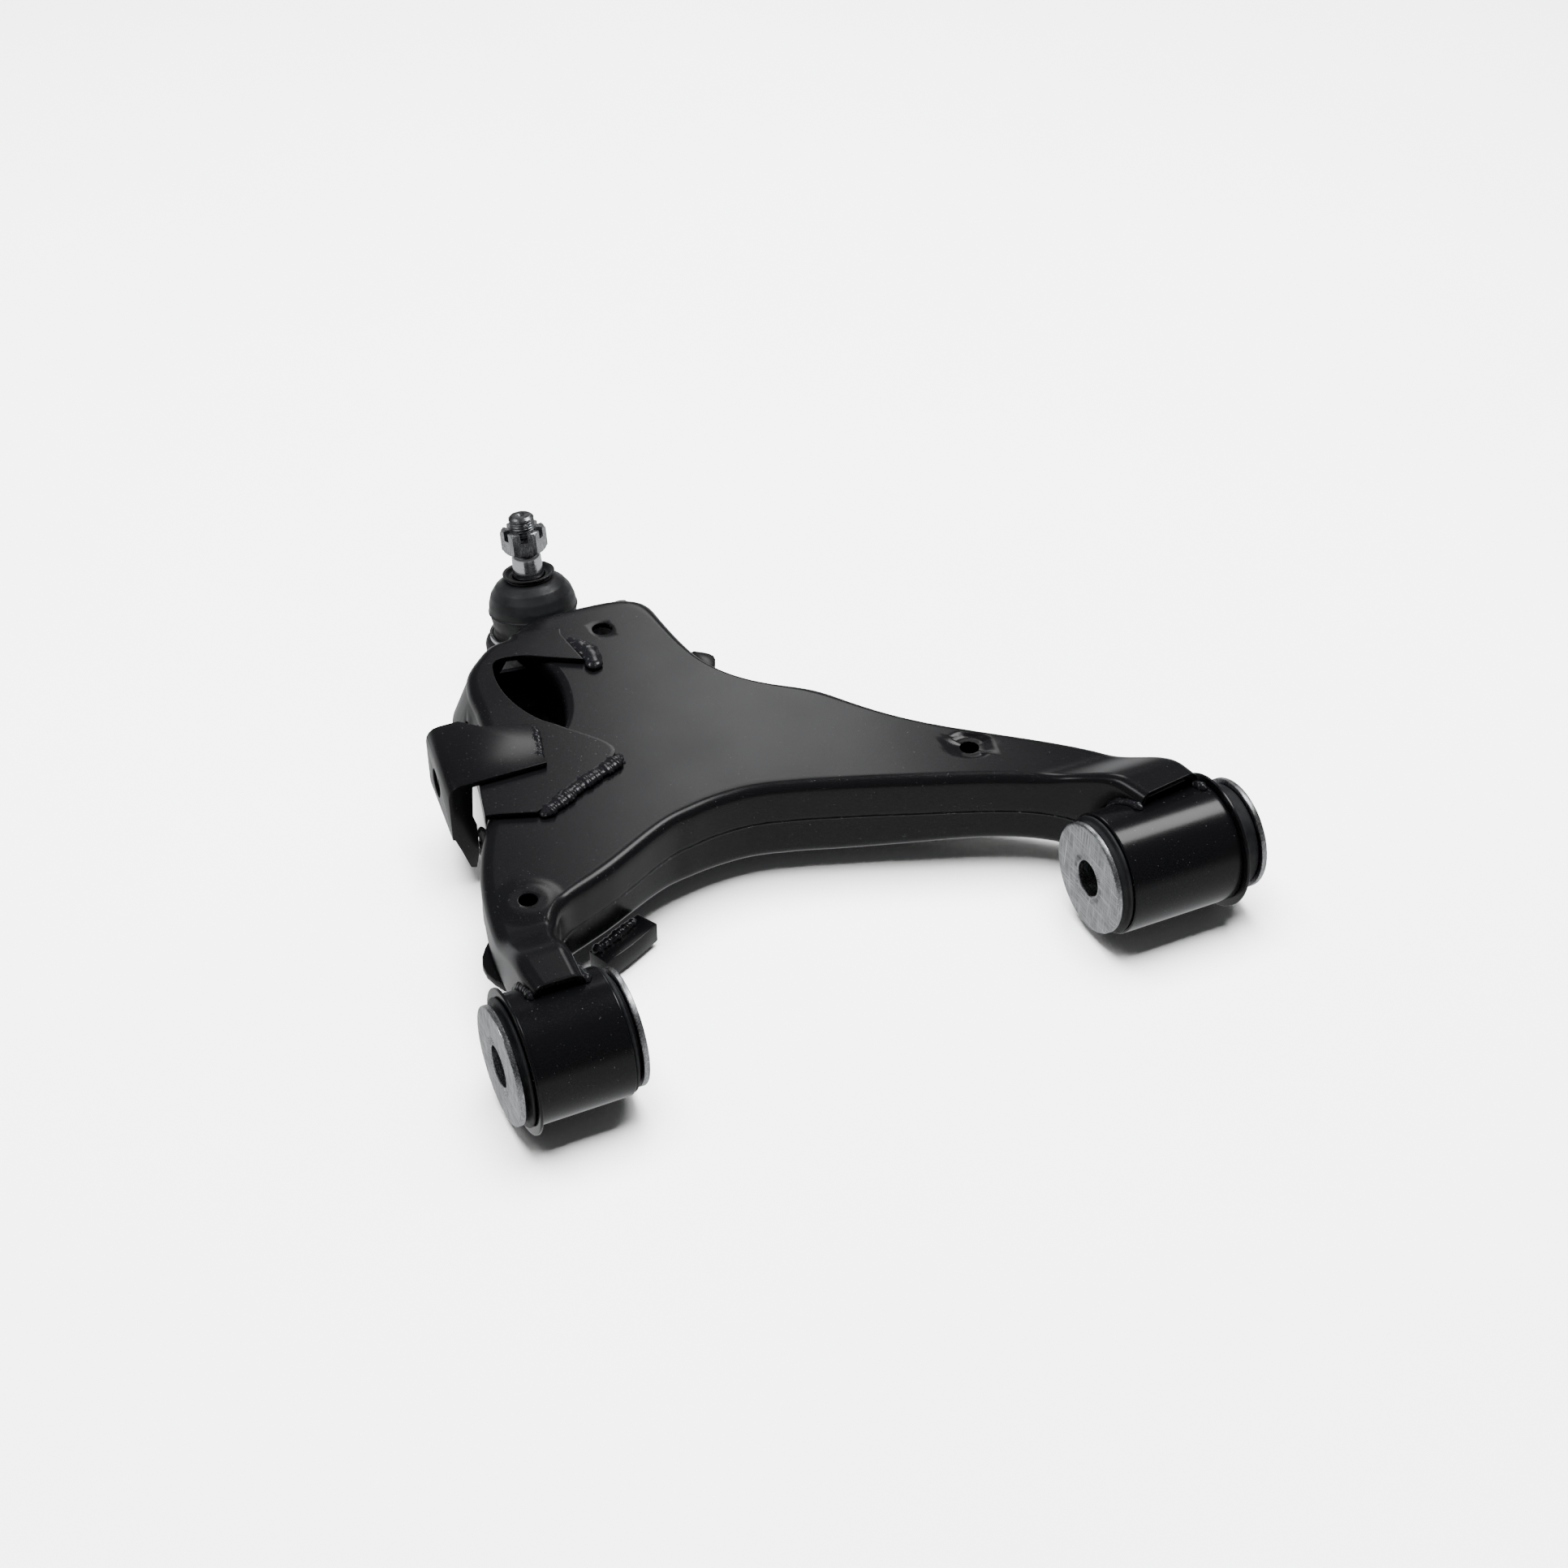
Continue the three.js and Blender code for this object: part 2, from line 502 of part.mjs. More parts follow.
piece('boot_lip', turned(BOOT_LIP, 32), RUBBER, joint);

function ballStud() {
  const ball = [];
  const neck = 6.8;
  const from = Math.acos(neck / BALL_R);
  for (let k = 1; k <= 10; k++) {
    const a = -Math.PI / 2 + (k / 10) * (Math.PI / 2 + from);
    ball.push([BALL_R * Math.cos(a), BALL_R * Math.sin(a)]);
  }
  const { shoulder, tip, threadR } = STUD;
  const profile = [[0, -BALL_R], ...ball, [neck, 14], [8.9, 20], [8.5, 47], [8.05, shoulder - 1],
    [7.2, shoulder], [6.1, shoulder + 0.3], [6.1, shoulder + 1.2], [threadR, shoulder + 2],
    [threadR, tip - 1.4], [5.8, tip], [0, tip]];
  const g = new THREE.LatheGeometry(profile.map(([r, z]) => v2(r, z)), 32).rotateX(Math.PI / 2);
  const aim = rad(-84);
  const reach = [Math.cos(aim) * 12, Math.sin(aim) * 12, STUD.tip - 4.7];
  return carve(g, { cut: [rod(1.7, reach, [-reach[0], -reach[1], reach[2]], 16)] });
}
piece('ball_stud', ballStud(), BRIGHT, joint);

function castleNut() {
  const height = NUT.high - NUT.low;
  const cornerR = NUT.flats / Math.sqrt(3);
  const hex = new THREE.CylinderGeometry(cornerR, cornerR, height, 6).rotateX(Math.PI / 2)
    .translate(0, 0, (NUT.low + NUT.high) / 2);
  const cuts = [rod(STUD.threadR + GAP, [0, 0, NUT.low - 5], [0, 0, NUT.high + 5], 32)];
  for (let k = 0; k < 3; k++) {
    cuts.push(new THREE.BoxGeometry(40, NUT.slot, NUT.slotDepth)
      .rotateZ(rad(60 * k)).translate(0, 0, NUT.high - NUT.slotDepth / 2 + 0.01));
  }
  return carve(hex, { cut: cuts }).rotateZ(rad(14));
}
piece('castle_nut', castleNut(), ZINC, joint);

export default arm;
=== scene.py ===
"""Lower control arm of pressed and welded steel: the looks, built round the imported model.

Sizes in the code are millimetres along the arm: X from the front bush's front face to the rear bush,
Y outboard from the bush pivot line, Z up from the ground the arm lies on. place() puts them in the
frame's metres. Ball joint sizes are millimetres from the ball's centre, along the joint's own axis.
"""
import json
import math

import bmesh
import bpy
import numpy as np
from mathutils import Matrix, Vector


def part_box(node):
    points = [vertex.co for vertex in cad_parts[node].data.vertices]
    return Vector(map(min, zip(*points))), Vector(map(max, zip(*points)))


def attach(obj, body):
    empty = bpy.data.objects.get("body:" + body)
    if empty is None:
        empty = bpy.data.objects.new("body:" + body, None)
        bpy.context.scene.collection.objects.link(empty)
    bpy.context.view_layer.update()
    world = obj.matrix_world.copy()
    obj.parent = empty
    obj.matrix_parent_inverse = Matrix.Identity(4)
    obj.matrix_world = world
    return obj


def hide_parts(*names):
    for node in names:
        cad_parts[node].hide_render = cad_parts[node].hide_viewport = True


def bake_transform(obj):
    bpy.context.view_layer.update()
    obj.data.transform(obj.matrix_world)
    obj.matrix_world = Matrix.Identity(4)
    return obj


bl_info = {
    "name": "Lower control arm",
    "version": (1, 0, 0),
    "blender": (4, 5, 0),
    "location": "3D View > Sidebar > Arm",
    "description": "Builds a welded control arm with its bushes and ball joint round a packed frame",
    "category": "Object",
}

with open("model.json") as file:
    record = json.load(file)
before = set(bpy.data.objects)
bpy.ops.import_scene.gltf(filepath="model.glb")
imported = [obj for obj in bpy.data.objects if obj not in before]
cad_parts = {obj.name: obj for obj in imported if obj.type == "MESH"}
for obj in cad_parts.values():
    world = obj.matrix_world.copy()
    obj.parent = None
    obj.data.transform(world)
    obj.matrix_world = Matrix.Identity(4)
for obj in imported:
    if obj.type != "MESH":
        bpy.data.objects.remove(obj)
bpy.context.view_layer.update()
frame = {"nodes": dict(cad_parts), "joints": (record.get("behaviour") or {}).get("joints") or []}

# ---- places taken from the frame ----
MM = 0.001
FRONT_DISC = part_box("front_bush_front_disc")
ORIGIN = np.array([FRONT_DISC[0].x, (FRONT_DISC[0].y + FRONT_DISC[1].y) / 2, 0.0])
JOINTS = {j["name"]: j for j in frame["joints"]}
BALL = np.array(JOINTS["ball_tilt"]["pos_m"])
AXIS = np.array(JOINTS["stud_spin"]["axis"])
LEAN = np.array([[1, 0, 0], [0, AXIS[2], AXIS[1]], [0, -AXIS[1], AXIS[2]]])  # joint axes to frame axes

# ---- driving sizes, mm ----
GAP = 0.3
PIVOT_Z = 34.5
TOP_Z = 58.5
SEAM_Z = 36.5
PAN_Z = 14.5
PAN_DEEP = 4.0
HUMP_RISE, HUMP_FROM_Y, HUMP_TO_Y = 13.5, 58.0, 20.0
TUBE_R, TUBE_WALL = 30.8, 3.2
CAN_WALL = 1.5
DISC_R, DISC_T = 28.3, 3.0
FLANGE_R = 34.5
SLEEVE_R = 13.5
BUSHES = {
    "front": dict(x0=0.0, x1=62.3, flange=7.2, sign=1, bore=10.0, tube=(9.0, 54.6), drain=(36.0, 2.6)),
    "rear": dict(x0=304.8, x1=390.4, flange=376.1, sign=-1, bore=9.2, tube=(313.4, 374.3),
                 drain=(354.0, 3.9)),
}
DRAIN_ANGLE = math.atan2(-36, -24)  # round the pivot line, from +Y
HOUSING_R = 29.0
EQUATOR, EQUATOR_R = 25.2, 24.9
THREAD_PITCH = 1.5
EVEN_PASSES, UNFOLD_PASSES = 40, 120

# Stations along the arm, from the front bush out to the ball joint and back to the rear bush: a point
# on the inner edge, then the point on the outer edge of the upper shell.
STATIONS = np.array([
    [[45, 3], [20, 3]], [[45.5, 15], [19, 15]], [[46, 27], [19, 30]], [[46.5, 39], [20, 47]],
    [[49, 51], [21.5, 66]], [[54, 61], [25, 86]], [[62, 68], [31, 108]], [[74, 73], [41, 131]],
    [[88, 79], [57, 157]], [[103, 87], [80, 178]], [[118, 95], [103, 189]], [[130, 100], [113, 209]],
    [[140, 102], [118, 230]], [[148, 103.5], [118, 247]], [[155, 104.2], [112, 262]],
    [[161, 104.4], [109, 276]], [[166, 104.3], [115, 288]], [[171, 104], [129, 293.5]],
    [[177, 103], [156, 293.5]], [[183, 101.6], [178, 291]], [[188, 100], [189, 282]],
    [[193, 98.6], [191, 263]], [[198, 97], [193, 238]], [[204, 95], [198, 214]],
    [[212, 92], [211, 194]], [[223, 88], [226, 181]], [[236, 83], [240, 170]],
    [[251, 77], [254, 149]], [[269, 70], [273, 126]], [[288, 62], [297, 105]],
    [[305, 53], [323, 84]], [[317, 43], [345, 64]], [[325, 32], [358, 47]],
    [[330, 22], [366, 33]], [[333, 13], [369.5, 21]], [[335, 5], [371, 11]],
], float)
LAST = len(STATIONS) - 1
OPENING = (6.9, 19.6)  # stations between which the outer edge runs along the strut opening
LOWER_FROM = 7
LOWER_OUTER = np.array([[41, 131], [47, 156], [54, 184], [60, 212], [63, 238], [69, 262], [80, 280],
                        [96, 290], [112, 289], [130, 287], [148, 286], [165, 287]], float)
HOOP_OUTER = np.array([[45, 138], [50, 160], [58, 182], [66, 203], [69.5, 222], [71.5, 241], [76, 255],
                       [85, 266], [96, 275], [109, 277], [122, 276], [135, 272]], float)
HOOP_INNER = np.array([[69, 130], [94, 144], [122, 160], [105, 189], [96, 201], [90, 216], [87.5, 231],
                       [88.5, 247], [93, 258], [107, 257], [121, 249], [136, 240]], float)
HOOP_FLARE, HOOP_FOOT_Z = 9.0, 34.0
STRUT_BOLT = (228.0, 43.0, 6.5)  # y, z, radius
TOP_HOLES = [(157.0, 266.0, 5.7), (43.0, 73.0, 4.7), (288.0, 92.0, 5.0)]
PAN_HOLES = [(215.0, 140.0, 6.0), (100.0, 130.0, 6.0)]


# ---- shapes as arrays ----
def smooth(t):
    """Eased step: 3t^2 - 2t^3 on t held to 0..1."""
    t = np.clip(t, 0.0, 1.0)
    return t * t * (3 - 2 * t)


def spline(points, t):
    """Centripetal Catmull-Rom curve through the points at t in 0..1, with equal t per span."""
    p = np.vstack([2 * points[0] - points[1], points, 2 * points[-1] - points[-2]])
    at = np.clip(t, 0, 1) * (len(points) - 1)
    i = np.clip(np.floor(at).astype(int), 0, len(points) - 2)
    w = (at - i)[..., None]
    a, b, c, d = p[i], p[i + 1], p[i + 2], p[i + 3]
    step = [np.sqrt(np.linalg.norm(v - u, axis=-1))[..., None] for u, v in ((a, b), (b, c), (c, d))]
    leave = ((b - a) / step[0] - (c - a) / (step[0] + step[1]) + (c - b) / step[1]) * step[1]
    reach = ((c - b) / step[1] - (d - b) / (step[1] + step[2]) + (d - c) / step[2]) * step[1]
    return (b + w * leave + w ** 2 * (3 * (c - b) - 2 * leave - reach)
            + w ** 3 * (2 * (b - c) + leave + reach))


def inset(points, t, distance, side):
    """The curve's point moved in by distance: side 1 on the inner edge, -1 on the outer one."""
    d = spline(points, np.minimum(1, t + 1e-3)) - spline(points, np.maximum(0, t - 1e-3))
    d /= np.linalg.norm(d, axis=-1, keepdims=True)
    across = np.stack([-d[..., 1], d[..., 0]], -1) * side
    return spline(points, t) + across * np.asarray(distance)[..., None]


def rounded(profile, radius, steps=4):
    """Polyline with each inner corner turned into a quadratic curve that starts radius before it."""
    out = [profile[0]]
    for a, b, c in zip(profile, profile[1:], profile[2:]):
        a, b, c = (np.array(q, float) for q in (a, b, c))
        r = min(radius, np.linalg.norm(b - a) / 2.01, np.linalg.norm(c - b) / 2.01)
        p = b + (a - b) / np.linalg.norm(a - b) * r
        q = b + (c - b) / np.linalg.norm(c - b) * r
        for w in np.linspace(0, 1, steps):
            out.append((1 - w) ** 2 * p + 2 * w * (1 - w) * b + w * w * q)
    return np.array([*out, profile[-1]], float)


def resampled(profile, step):
    """Polyline with points no further apart than step."""
    out = [profile[0]]
    for a, b in zip(profile, profile[1:]):
        n = max(1, math.ceil(np.linalg.norm(b - a) / step))
        out.extend(a + (b - a) * k / n for k in range(1, n + 1))
    return np.array(out)


def circle(steps):
    """Angles once round, without the last one."""
    return np.linspace(0, 2 * math.pi, steps, endpoint=False)


def lathe(profile, steps=96):
    """(radius, height) profile turned once round the height axis, as a grid of angle by profile."""
    a = circle(steps)[:, None]
    r, h = profile[None, :, 0], profile[None, :, 1]
    return np.stack([r * np.cos(a), r * np.sin(a), h + 0 * a], -1)


def along_pivot(grid):
    """Turned grid laid down on the bush pivot line, its heights becoming X places."""
    return np.stack([grid[..., 2], grid[..., 0], grid[..., 1] + PIVOT_Z], -1)


def place(points):
    """Arm millimetres to frame metres."""
    return np.asarray(points, float) * MM + ORIGIN


def place_joint(points):
    """Ball joint millimetres to frame metres."""
    return (np.asarray(points, float) @ LEAN.T) * MM + BALL


def grid_faces(n, m, close_n=False, close_m=False, keep=None):
    """Quads of an n by m grid of points, less those with a corner where keep is False."""
    i = np.arange(n if close_n else n - 1)[:, None]
    j = np.arange(m if close_m else m - 1)[None, :]
    corner = lambda a, b: (i + a) % n * m + (j + b) % m
    quads = np.stack([corner(0, 0), corner(1, 0), corner(1, 1), corner(0, 1)], -1).reshape(-1, 4)
    return quads if keep is None else quads[keep.reshape(-1)[quads].all(1)]


def pierce(flat, centre, radius, reach=2.4):
    """Opens a round hole in a grid of plane points and returns which points to keep.

    Rectangular rings of grid points round the hole are carried to circles: a point keeps its direction
    from the centre, and its distance runs from the radius, on the ring halfway out, to where it was, on
    the outermost ring, which lies about reach radii away.
    """
    away = np.linalg.norm(flat - centre, axis=-1)
    ic, jc = np.unravel_index(np.argmin(away), away.shape)
    spacing = (np.linalg.norm(flat[ic + 1, jc] - flat[ic - 1, jc]) / 2,
               np.linalg.norm(flat[ic, jc + 1] - flat[ic, jc - 1]) / 2)
    room = (min(ic, flat.shape[0] - 1 - ic), min(jc, flat.shape[1] - 1 - jc))
    la, lb = (min(2 * math.ceil(reach * radius / s / 2), r // 2 * 2) for s, r in zip(spacing, room))
    a, b = np.meshgrid(np.arange(-la, la + 1), np.arange(-lb, lb + 1), indexing="ij")
    level = np.maximum(np.abs(a) / la, np.abs(b) / lb)
    safe = np.maximum(level, 0.5)
    fi, fj = ic + a / safe, jc + b / safe
    i0 = np.clip(np.floor(fi).astype(int), 0, flat.shape[0] - 2)
    j0 = np.clip(np.floor(fj).astype(int), 0, flat.shape[1] - 2)
    u, v = (fi - i0)[..., None], (fj - j0)[..., None]
    rim = ((1 - u) * (1 - v) * flat[i0, j0] + u * (1 - v) * flat[i0 + 1, j0]
           + (1 - u) * v * flat[i0, j0 + 1] + u * v * flat[i0 + 1, j0 + 1])
    out = rim - centre
    far = np.maximum(np.linalg.norm(out, axis=-1, keepdims=True), 1e-6)
    w = (2 * level - 1)[..., None]
    moved = centre + out / far * (radius + (far - radius) * w)
    block = (slice(ic - la, ic + la + 1), slice(jc - lb, jc + lb + 1))
    open_part = level > 0.5 - 1e-9
    flat[block] = np.where(open_part[..., None], moved, flat[block])
    keep = np.ones(flat.shape[:2], bool)
    keep[block] = open_part
    return keep


CLOSED = dict(close_n=True, close_m=True)  # a surface that meets itself both ways


def surface(grid, to_frame=place, **closed):
    """A grid as the one (points, quads) pair that piece() takes."""
    return [(to_frame(grid), grid_faces(*grid.shape[:2], **closed))]


# ---- making pieces ----
def finish_mesh(obj, sharp_deg):
    """Applies the piece's modifiers and shades it smooth, with sharp edges above the angle."""
    if obj.modifiers:
        mesh = bpy.data.meshes.new_from_object(obj.evaluated_get(bpy.context.evaluated_depsgraph_get()))
        obj.modifiers.clear()
        obj.data = mesh
    obj.data.shade_smooth()
    obj.data.set_sharp_from_angle(angle=math.radians(sharp_deg))


def piece(name, grids, finish, body="arm", core=None, wall=0.0, bevel=0.0, sharp_deg=38):
    """A named piece from one or more (points, quads) grids in frame metres.

    A closed surface has its faces turned outwards. An open one looks away from the point `core`, and
    a wall of that many millimetres is then added behind it.
    """
    bm = bmesh.new()
    for points, quads in grids:
        mesh = bpy.data.meshes.new("part")
        mesh.from_pydata(points.reshape(-1, 3).tolist(), [], quads.tolist())
        bm.from_mesh(mesh)
        bpy.data.meshes.remove(mesh)
    bmesh.ops.remove_doubles(bm, verts=bm.verts, dist=2e-6)
    bmesh.ops.delete(bm, geom=[v for v in bm.verts if not v.link_faces], context="VERTS")
    bmesh.ops.recalc_face_normals(bm, faces=bm.faces)
    if core is not None:
        eye = Vector(core)
        facing = sum((f.calc_center_median() - eye).dot(f.normal) * f.calc_area() for f in bm.faces)
        if facing < 0:
            bmesh.ops.reverse_faces(bm, faces=bm.faces)
    mesh = bpy.data.meshes.new(name)
    bm.to_mesh(mesh)
    bm.free()
    obj = bpy.data.objects.new(name, mesh)
    bpy.context.scene.collection.objects.link(obj)
    mesh.materials.append(material(finish))
    if wall:
        solid = obj.modifiers.new("wall", "SOLIDIFY")
        solid.thickness, solid.offset = wall * MM, -1
    if bevel:
        soften(obj, bevel)
    finish_mesh(obj, sharp_deg)
    return own(obj, body)


def soften(obj, width):
    """Rounds the edges sharper than 40 degrees by that many millimetres."""
    edge = obj.modifiers.new("edge", "BEVEL")
    edge.width, edge.segments, edge.limit_method = width * MM, 2, "ANGLE"
    edge.angle_limit = math.radians(40)


def own(obj, body):
    """Gives a piece its body and hides the frame node that it stands for, if there is one:
    the node's name is the piece's name less its last word."""
    if body:
        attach(obj, body)
    node = obj.name.rpartition("_")[0]
    if node in frame["nodes"]:
        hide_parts(node)
    return obj


def refined(node, finish):
    """A merged copy of a frame node with softened edges and smooth bends."""
    obj = bpy.data.objects.new(node + "_formed", frame["nodes"][node].data.copy())
    bpy.context.scene.collection.objects.link(obj)
    bm = bmesh.new()
    bm.from_mesh(obj.data)
    bmesh.ops.remove_doubles(bm, verts=bm.verts, dist=2e-5)
    bmesh.ops.dissolve_limit(bm, angle_limit=math.radians(1), verts=bm.verts, edges=bm.edges)
    bm.to_mesh(obj.data)
    bm.free()
    obj.data.materials.clear()
    obj.data.materials.append(material(finish))
    soften(obj, 0.5)
    finish_mesh(obj, 32)
    return own(obj, "arm")


def bead(name, path, up, width, height, pitch, depth=0.28):
    """A weld bead: a half ellipse carried along the path, closed to a point at both ends.

    Its height rises and falls by the depth, as a share, once per pitch in crescents, which lag behind at
    the edges, and both sizes wander slowly along the bead.
    """
    step = np.linalg.norm(np.diff(path, axis=0), axis=1)
    run = np.concatenate([[0], np.cumsum(step)])
    s = np.linspace(0, run[-1], max(24, int(run[-1] / (pitch / 7))))
    line = np.stack([np.interp(s, run, path[:, k]) for k in range(3)], -1)
    lift = np.stack([np.interp(s, run, up[:, k]) for k in range(3)], -1)
    along = np.gradient(line, axis=0)
    along /= np.linalg.norm(along, axis=1, keepdims=True)
    side = np.cross(along, lift)
    side /= np.linalg.norm(side, axis=1, keepdims=True)
    lift = np.cross(side, along)
    a = circle(20)[None, :]
    taper = np.sqrt(np.clip(np.minimum(s, run[-1] - s) / (width * 0.6), 0, 1))[:, None]
    s = s[:, None]
    wander = 1 + 0.1 * np.sin(s * 0.37 + 1.3) + 0.07 * np.sin(s * 0.91 + width)
    phase = ((s + 0.45 * width * np.cos(a) ** 2) / pitch) % 1
    ripple = 1 - depth / 2 + depth * np.sin(np.pi * phase) ** 0.7
    w = width / 2 * wander * taper * (0.97 + 0.06 * np.sin(2 * math.pi * s / pitch))
    h = height * wander * taper * ripple
    across = w * np.cos(a)
    rise = h * np.sin(a) * np.where(np.sin(a) > 0, 1, 0.5)
    grid = line[:, None] + side[:, None] * across[..., None] + lift[:, None] * rise[..., None]
    return piece(name, surface(grid, close_m=True), "weld", sharp_deg=60)


# ---- materials ----
def linear(hex_text):
    """sRGB hex to linear RGBA."""
    c = np.array([int(hex_text[k:k + 2], 16) / 255 for k in (0, 2, 4)])
    c = np.where(c <= 0.04045, c / 12.92, ((c + 0.055) / 1.055) ** 2.4)
    return (*c.tolist(), 1.0)


def add(tree, kind, links=(), **values):
    """Adds a node: values that name a socket are set on it, the others on the node; links are joined."""
    node = tree.nodes.new("ShaderNode" + kind)
    for key, value in values.items():
        name = key.replace("_", " ")
        socket = next((s for s in node.inputs if s.name.lower() == name.lower() and s.enabled), None)
        if socket is not None:
            socket.default_value = value
        else:
            setattr(node, key, value)
    for source, target in links:
        tree.links.new(source, node.inputs[target])
    return node


def new_material(name, colour, metallic, roughness):
    """A named material with its shader, and Object coordinates for its patterns."""
    material = bpy.data.materials.new(name)
    material.use_nodes = True
    tree = material.node_tree
    shader = tree.nodes["Principled BSDF"]
    shader.inputs["Base Color"].default_value = linear(colour)
    shader.inputs["Metallic"].default_value = metallic
    shader.inputs["Roughness"].default_value = roughness
    return material, tree, shader, add(tree, "TexCoord").outputs["Object"]


def spread(tree, source, low, high, shader, socket, start=0.3, stop=0.7):
    """Carries a pattern's start..stop to low..high on a shader socket."""
    node = add(tree, "MapRange", [(source, "Value")], From_Min=start, From_Max=stop,
               To_Min=low, To_Max=high)
    tree.links.new(node.outputs["Result"], shader.inputs[socket])


def mixed(tree, source, dark, light, shader, start=0.3, stop=0.7):
    """Carries a pattern to a blend of two colours on the base colour."""
    ramp = add(tree, "ValToRGB", [(source, "Fac")])
    ramp.color_ramp.elements[0].position, ramp.color_ramp.elements[0].color = start, linear(dark)
    ramp.color_ramp.elements[1].position, ramp.color_ramp.elements[1].color = stop, linear(light)
    tree.links.new(ramp.outputs["Color"], shader.inputs["Base Color"])


def relief(tree, source, depth_mm, shader, strength=1.0, under=None):
    """Bump of that depth from a pattern, over another one where given."""
    links = [(source, "Height")] + ([(under.outputs["Normal"], "Normal")] if under else [])
    node = add(tree, "Bump", links, Strength=strength, Distance=depth_mm * MM)
    tree.links.new(node.outputs["Normal"], shader.inputs["Normal"])
    return node


def noise(tree, coords, size_mm, detail=2.0, stretch=(1, 1, 1), turn=(0, 0, 0)):
    """Noise whose grain is size_mm across, drawn out by dividing its scale along an axis."""
    mapping = add(tree, "Mapping", [(coords, "Vector")])
    mapping.inputs["Scale"].default_value = [1 / s for s in stretch]
    mapping.inputs["Rotation"].default_value = turn
    return add(tree, "TexNoise", [(mapping.outputs["Vector"], "Vector")],
               Scale=1 / (size_mm * MM), Detail=detail).outputs["Fac"]


def electrocoat(name, colour, roughness):
    """Black electrocoat dipped over pressed steel: semi-gloss, with a faint orange peel of about 2 mm,
    hazy patches a few centimetres wide and sparse pale dust that settled on it."""
    material, tree, shader, coords = new_material(name, colour, 0.0, roughness)
    shader.inputs["Specular IOR Level"].default_value = 0.26
    spread(tree, noise(tree, coords, 40, 1), roughness - 0.015, roughness + 0.02, shader, "Roughness")
    first = relief(tree, noise(tree, coords, 2.2, 2), 0.02, shader, 0.3)
    relief(tree, noise(tree, coords, 12, 1), 0.05, shader, 0.3, first)
    dust = noise(tree, coords, 0.9, 1)
    mixed(tree, dust, colour, "303032", shader, 0.74, 0.80)
    return material


def weld_metal():
    """Arc weld bead under the same coat: glossier, scaly, with grey slag specks along it."""
    material, tree, shader, coords = new_material("arc_weld_under_electrocoat", "08080A", 0.0, 0.24)
    shader.inputs["Specular IOR Level"].default_value = 0.35
    relief(tree, noise(tree, coords, 2.6, 2), 0.1, shader, 0.3)
    mixed(tree, noise(tree, coords, 2.2, 2), "08080A", "343436", shader, 0.62, 0.8)
    return material


def zinc_plate():
    """Zinc plate on turned steel: pale, with random fine scratches and cloudy dull patches."""
    material, tree, shader, coords = new_material("zinc_plated_turned_steel", "B4B6B8", 1.0, 0.36)
    scratch = noise(tree, coords, 0.5, 2, (1, 30, 1), (0.6, 0, 0))
    cross = noise(tree, coords, 0.6, 2, (1, 1, 26), (1.1, 0, 0))
    both = add(tree, "Math", [(scratch, 0), (cross, 1)], operation="MAXIMUM").outputs["Value"]
    mixed(tree, both, "8F9193", "D4D6D8", shader, 0.48, 0.72)
    spread(tree, noise(tree, coords, 6, 4), 0.26, 0.5, shader, "Roughness")
    relief(tree, both, 0.03, shader, 0.35)
    return material


def bright_steel():
    """Ground and polished steel: mirror bright, with fine turning marks round the axis."""
    material, tree, shader, coords = new_material("ground_bright_steel", "C9CACC", 1.0, 0.16)
    marks = noise(tree, coords, 0.5, 2, (30, 30, 1), (-math.asin(AXIS[1]), 0, 0))
    spread(tree, marks, 0.12, 0.3, shader, "Roughness")
    relief(tree, marks, 0.01, shader, 0.3)
    return material


def thread_steel():
    """Rolled thread in phosphated steel: mid grey with oily dark patches between the crests."""
    material, tree, shader, coords = new_material("phosphated_rolled_thread", "8D8F91", 1.0, 0.34)
    mixed(tree, noise(tree, coords, 3.5, 3), "5E6062", "A9ABAD", shader)
    relief(tree, noise(tree, coords, 0.4, 2), 0.02, shader, 0.4)
    return material


def moulded_rubber(name, colour, roughness):
    """Moulded black rubber: soft broad sheen, a fine matte grain and a faint grey bloom."""
    material, tree, shader, coords = new_material(name, colour, 0.0, roughness)
    shader.inputs["Specular IOR Level"].default_value = 0.25
    mixed(tree, noise(tree, coords, 14, 4), colour, "151617", shader, 0.35, 0.75)
    spread(tree, noise(tree, coords, 5, 3), roughness - 0.08, roughness + 0.1, shader, "Roughness")
    relief(tree, noise(tree, coords, 0.8, 2), 0.02, shader, 0.25)
    return material


def forged_steel():
    """Drop-forged steel, shot blasted and coated: dark, pitted and uneven, with dull pale rubs."""
    material, tree, shader, coords = new_material("coated_drop_forging", "0A0A0B", 0.0, 0.4)
    first = relief(tree, noise(tree, coords, 2.0, 5), 0.3, shader, 0.7)
    relief(tree, noise(tree, coords, 9, 2), 0.5, shader, 0.6, first)
    mixed(tree, noise(tree, coords, 3, 5), "070708", "242527", shader, 0.5, 0.8)
    spread(tree, noise(tree, coords, 8, 3), 0.32, 0.6, shader, "Roughness")
    return material


def seat_plastic():
    """Moulded acetal bearing shell: ivory, waxy and slightly mottled."""
    material, tree, shader, coords = new_material("moulded_acetal", "D8D4C6", 0.0, 0.38)
    mixed(tree, noise(tree, coords, 4, 3), "CFCABA", "E0DCCF", shader)
    return material


def ground_paper():
    """Seamless white paper: plain, with only the faintest mottle."""
    material, tree, shader, coords = new_material("seamless_white_paper", "F4F4F4", 0.0, 0.9)
    mixed(tree, noise(tree, coords, 300, 2), "F2F2F2", "F6F6F6", shader)
    return material


MATERIALS = {}


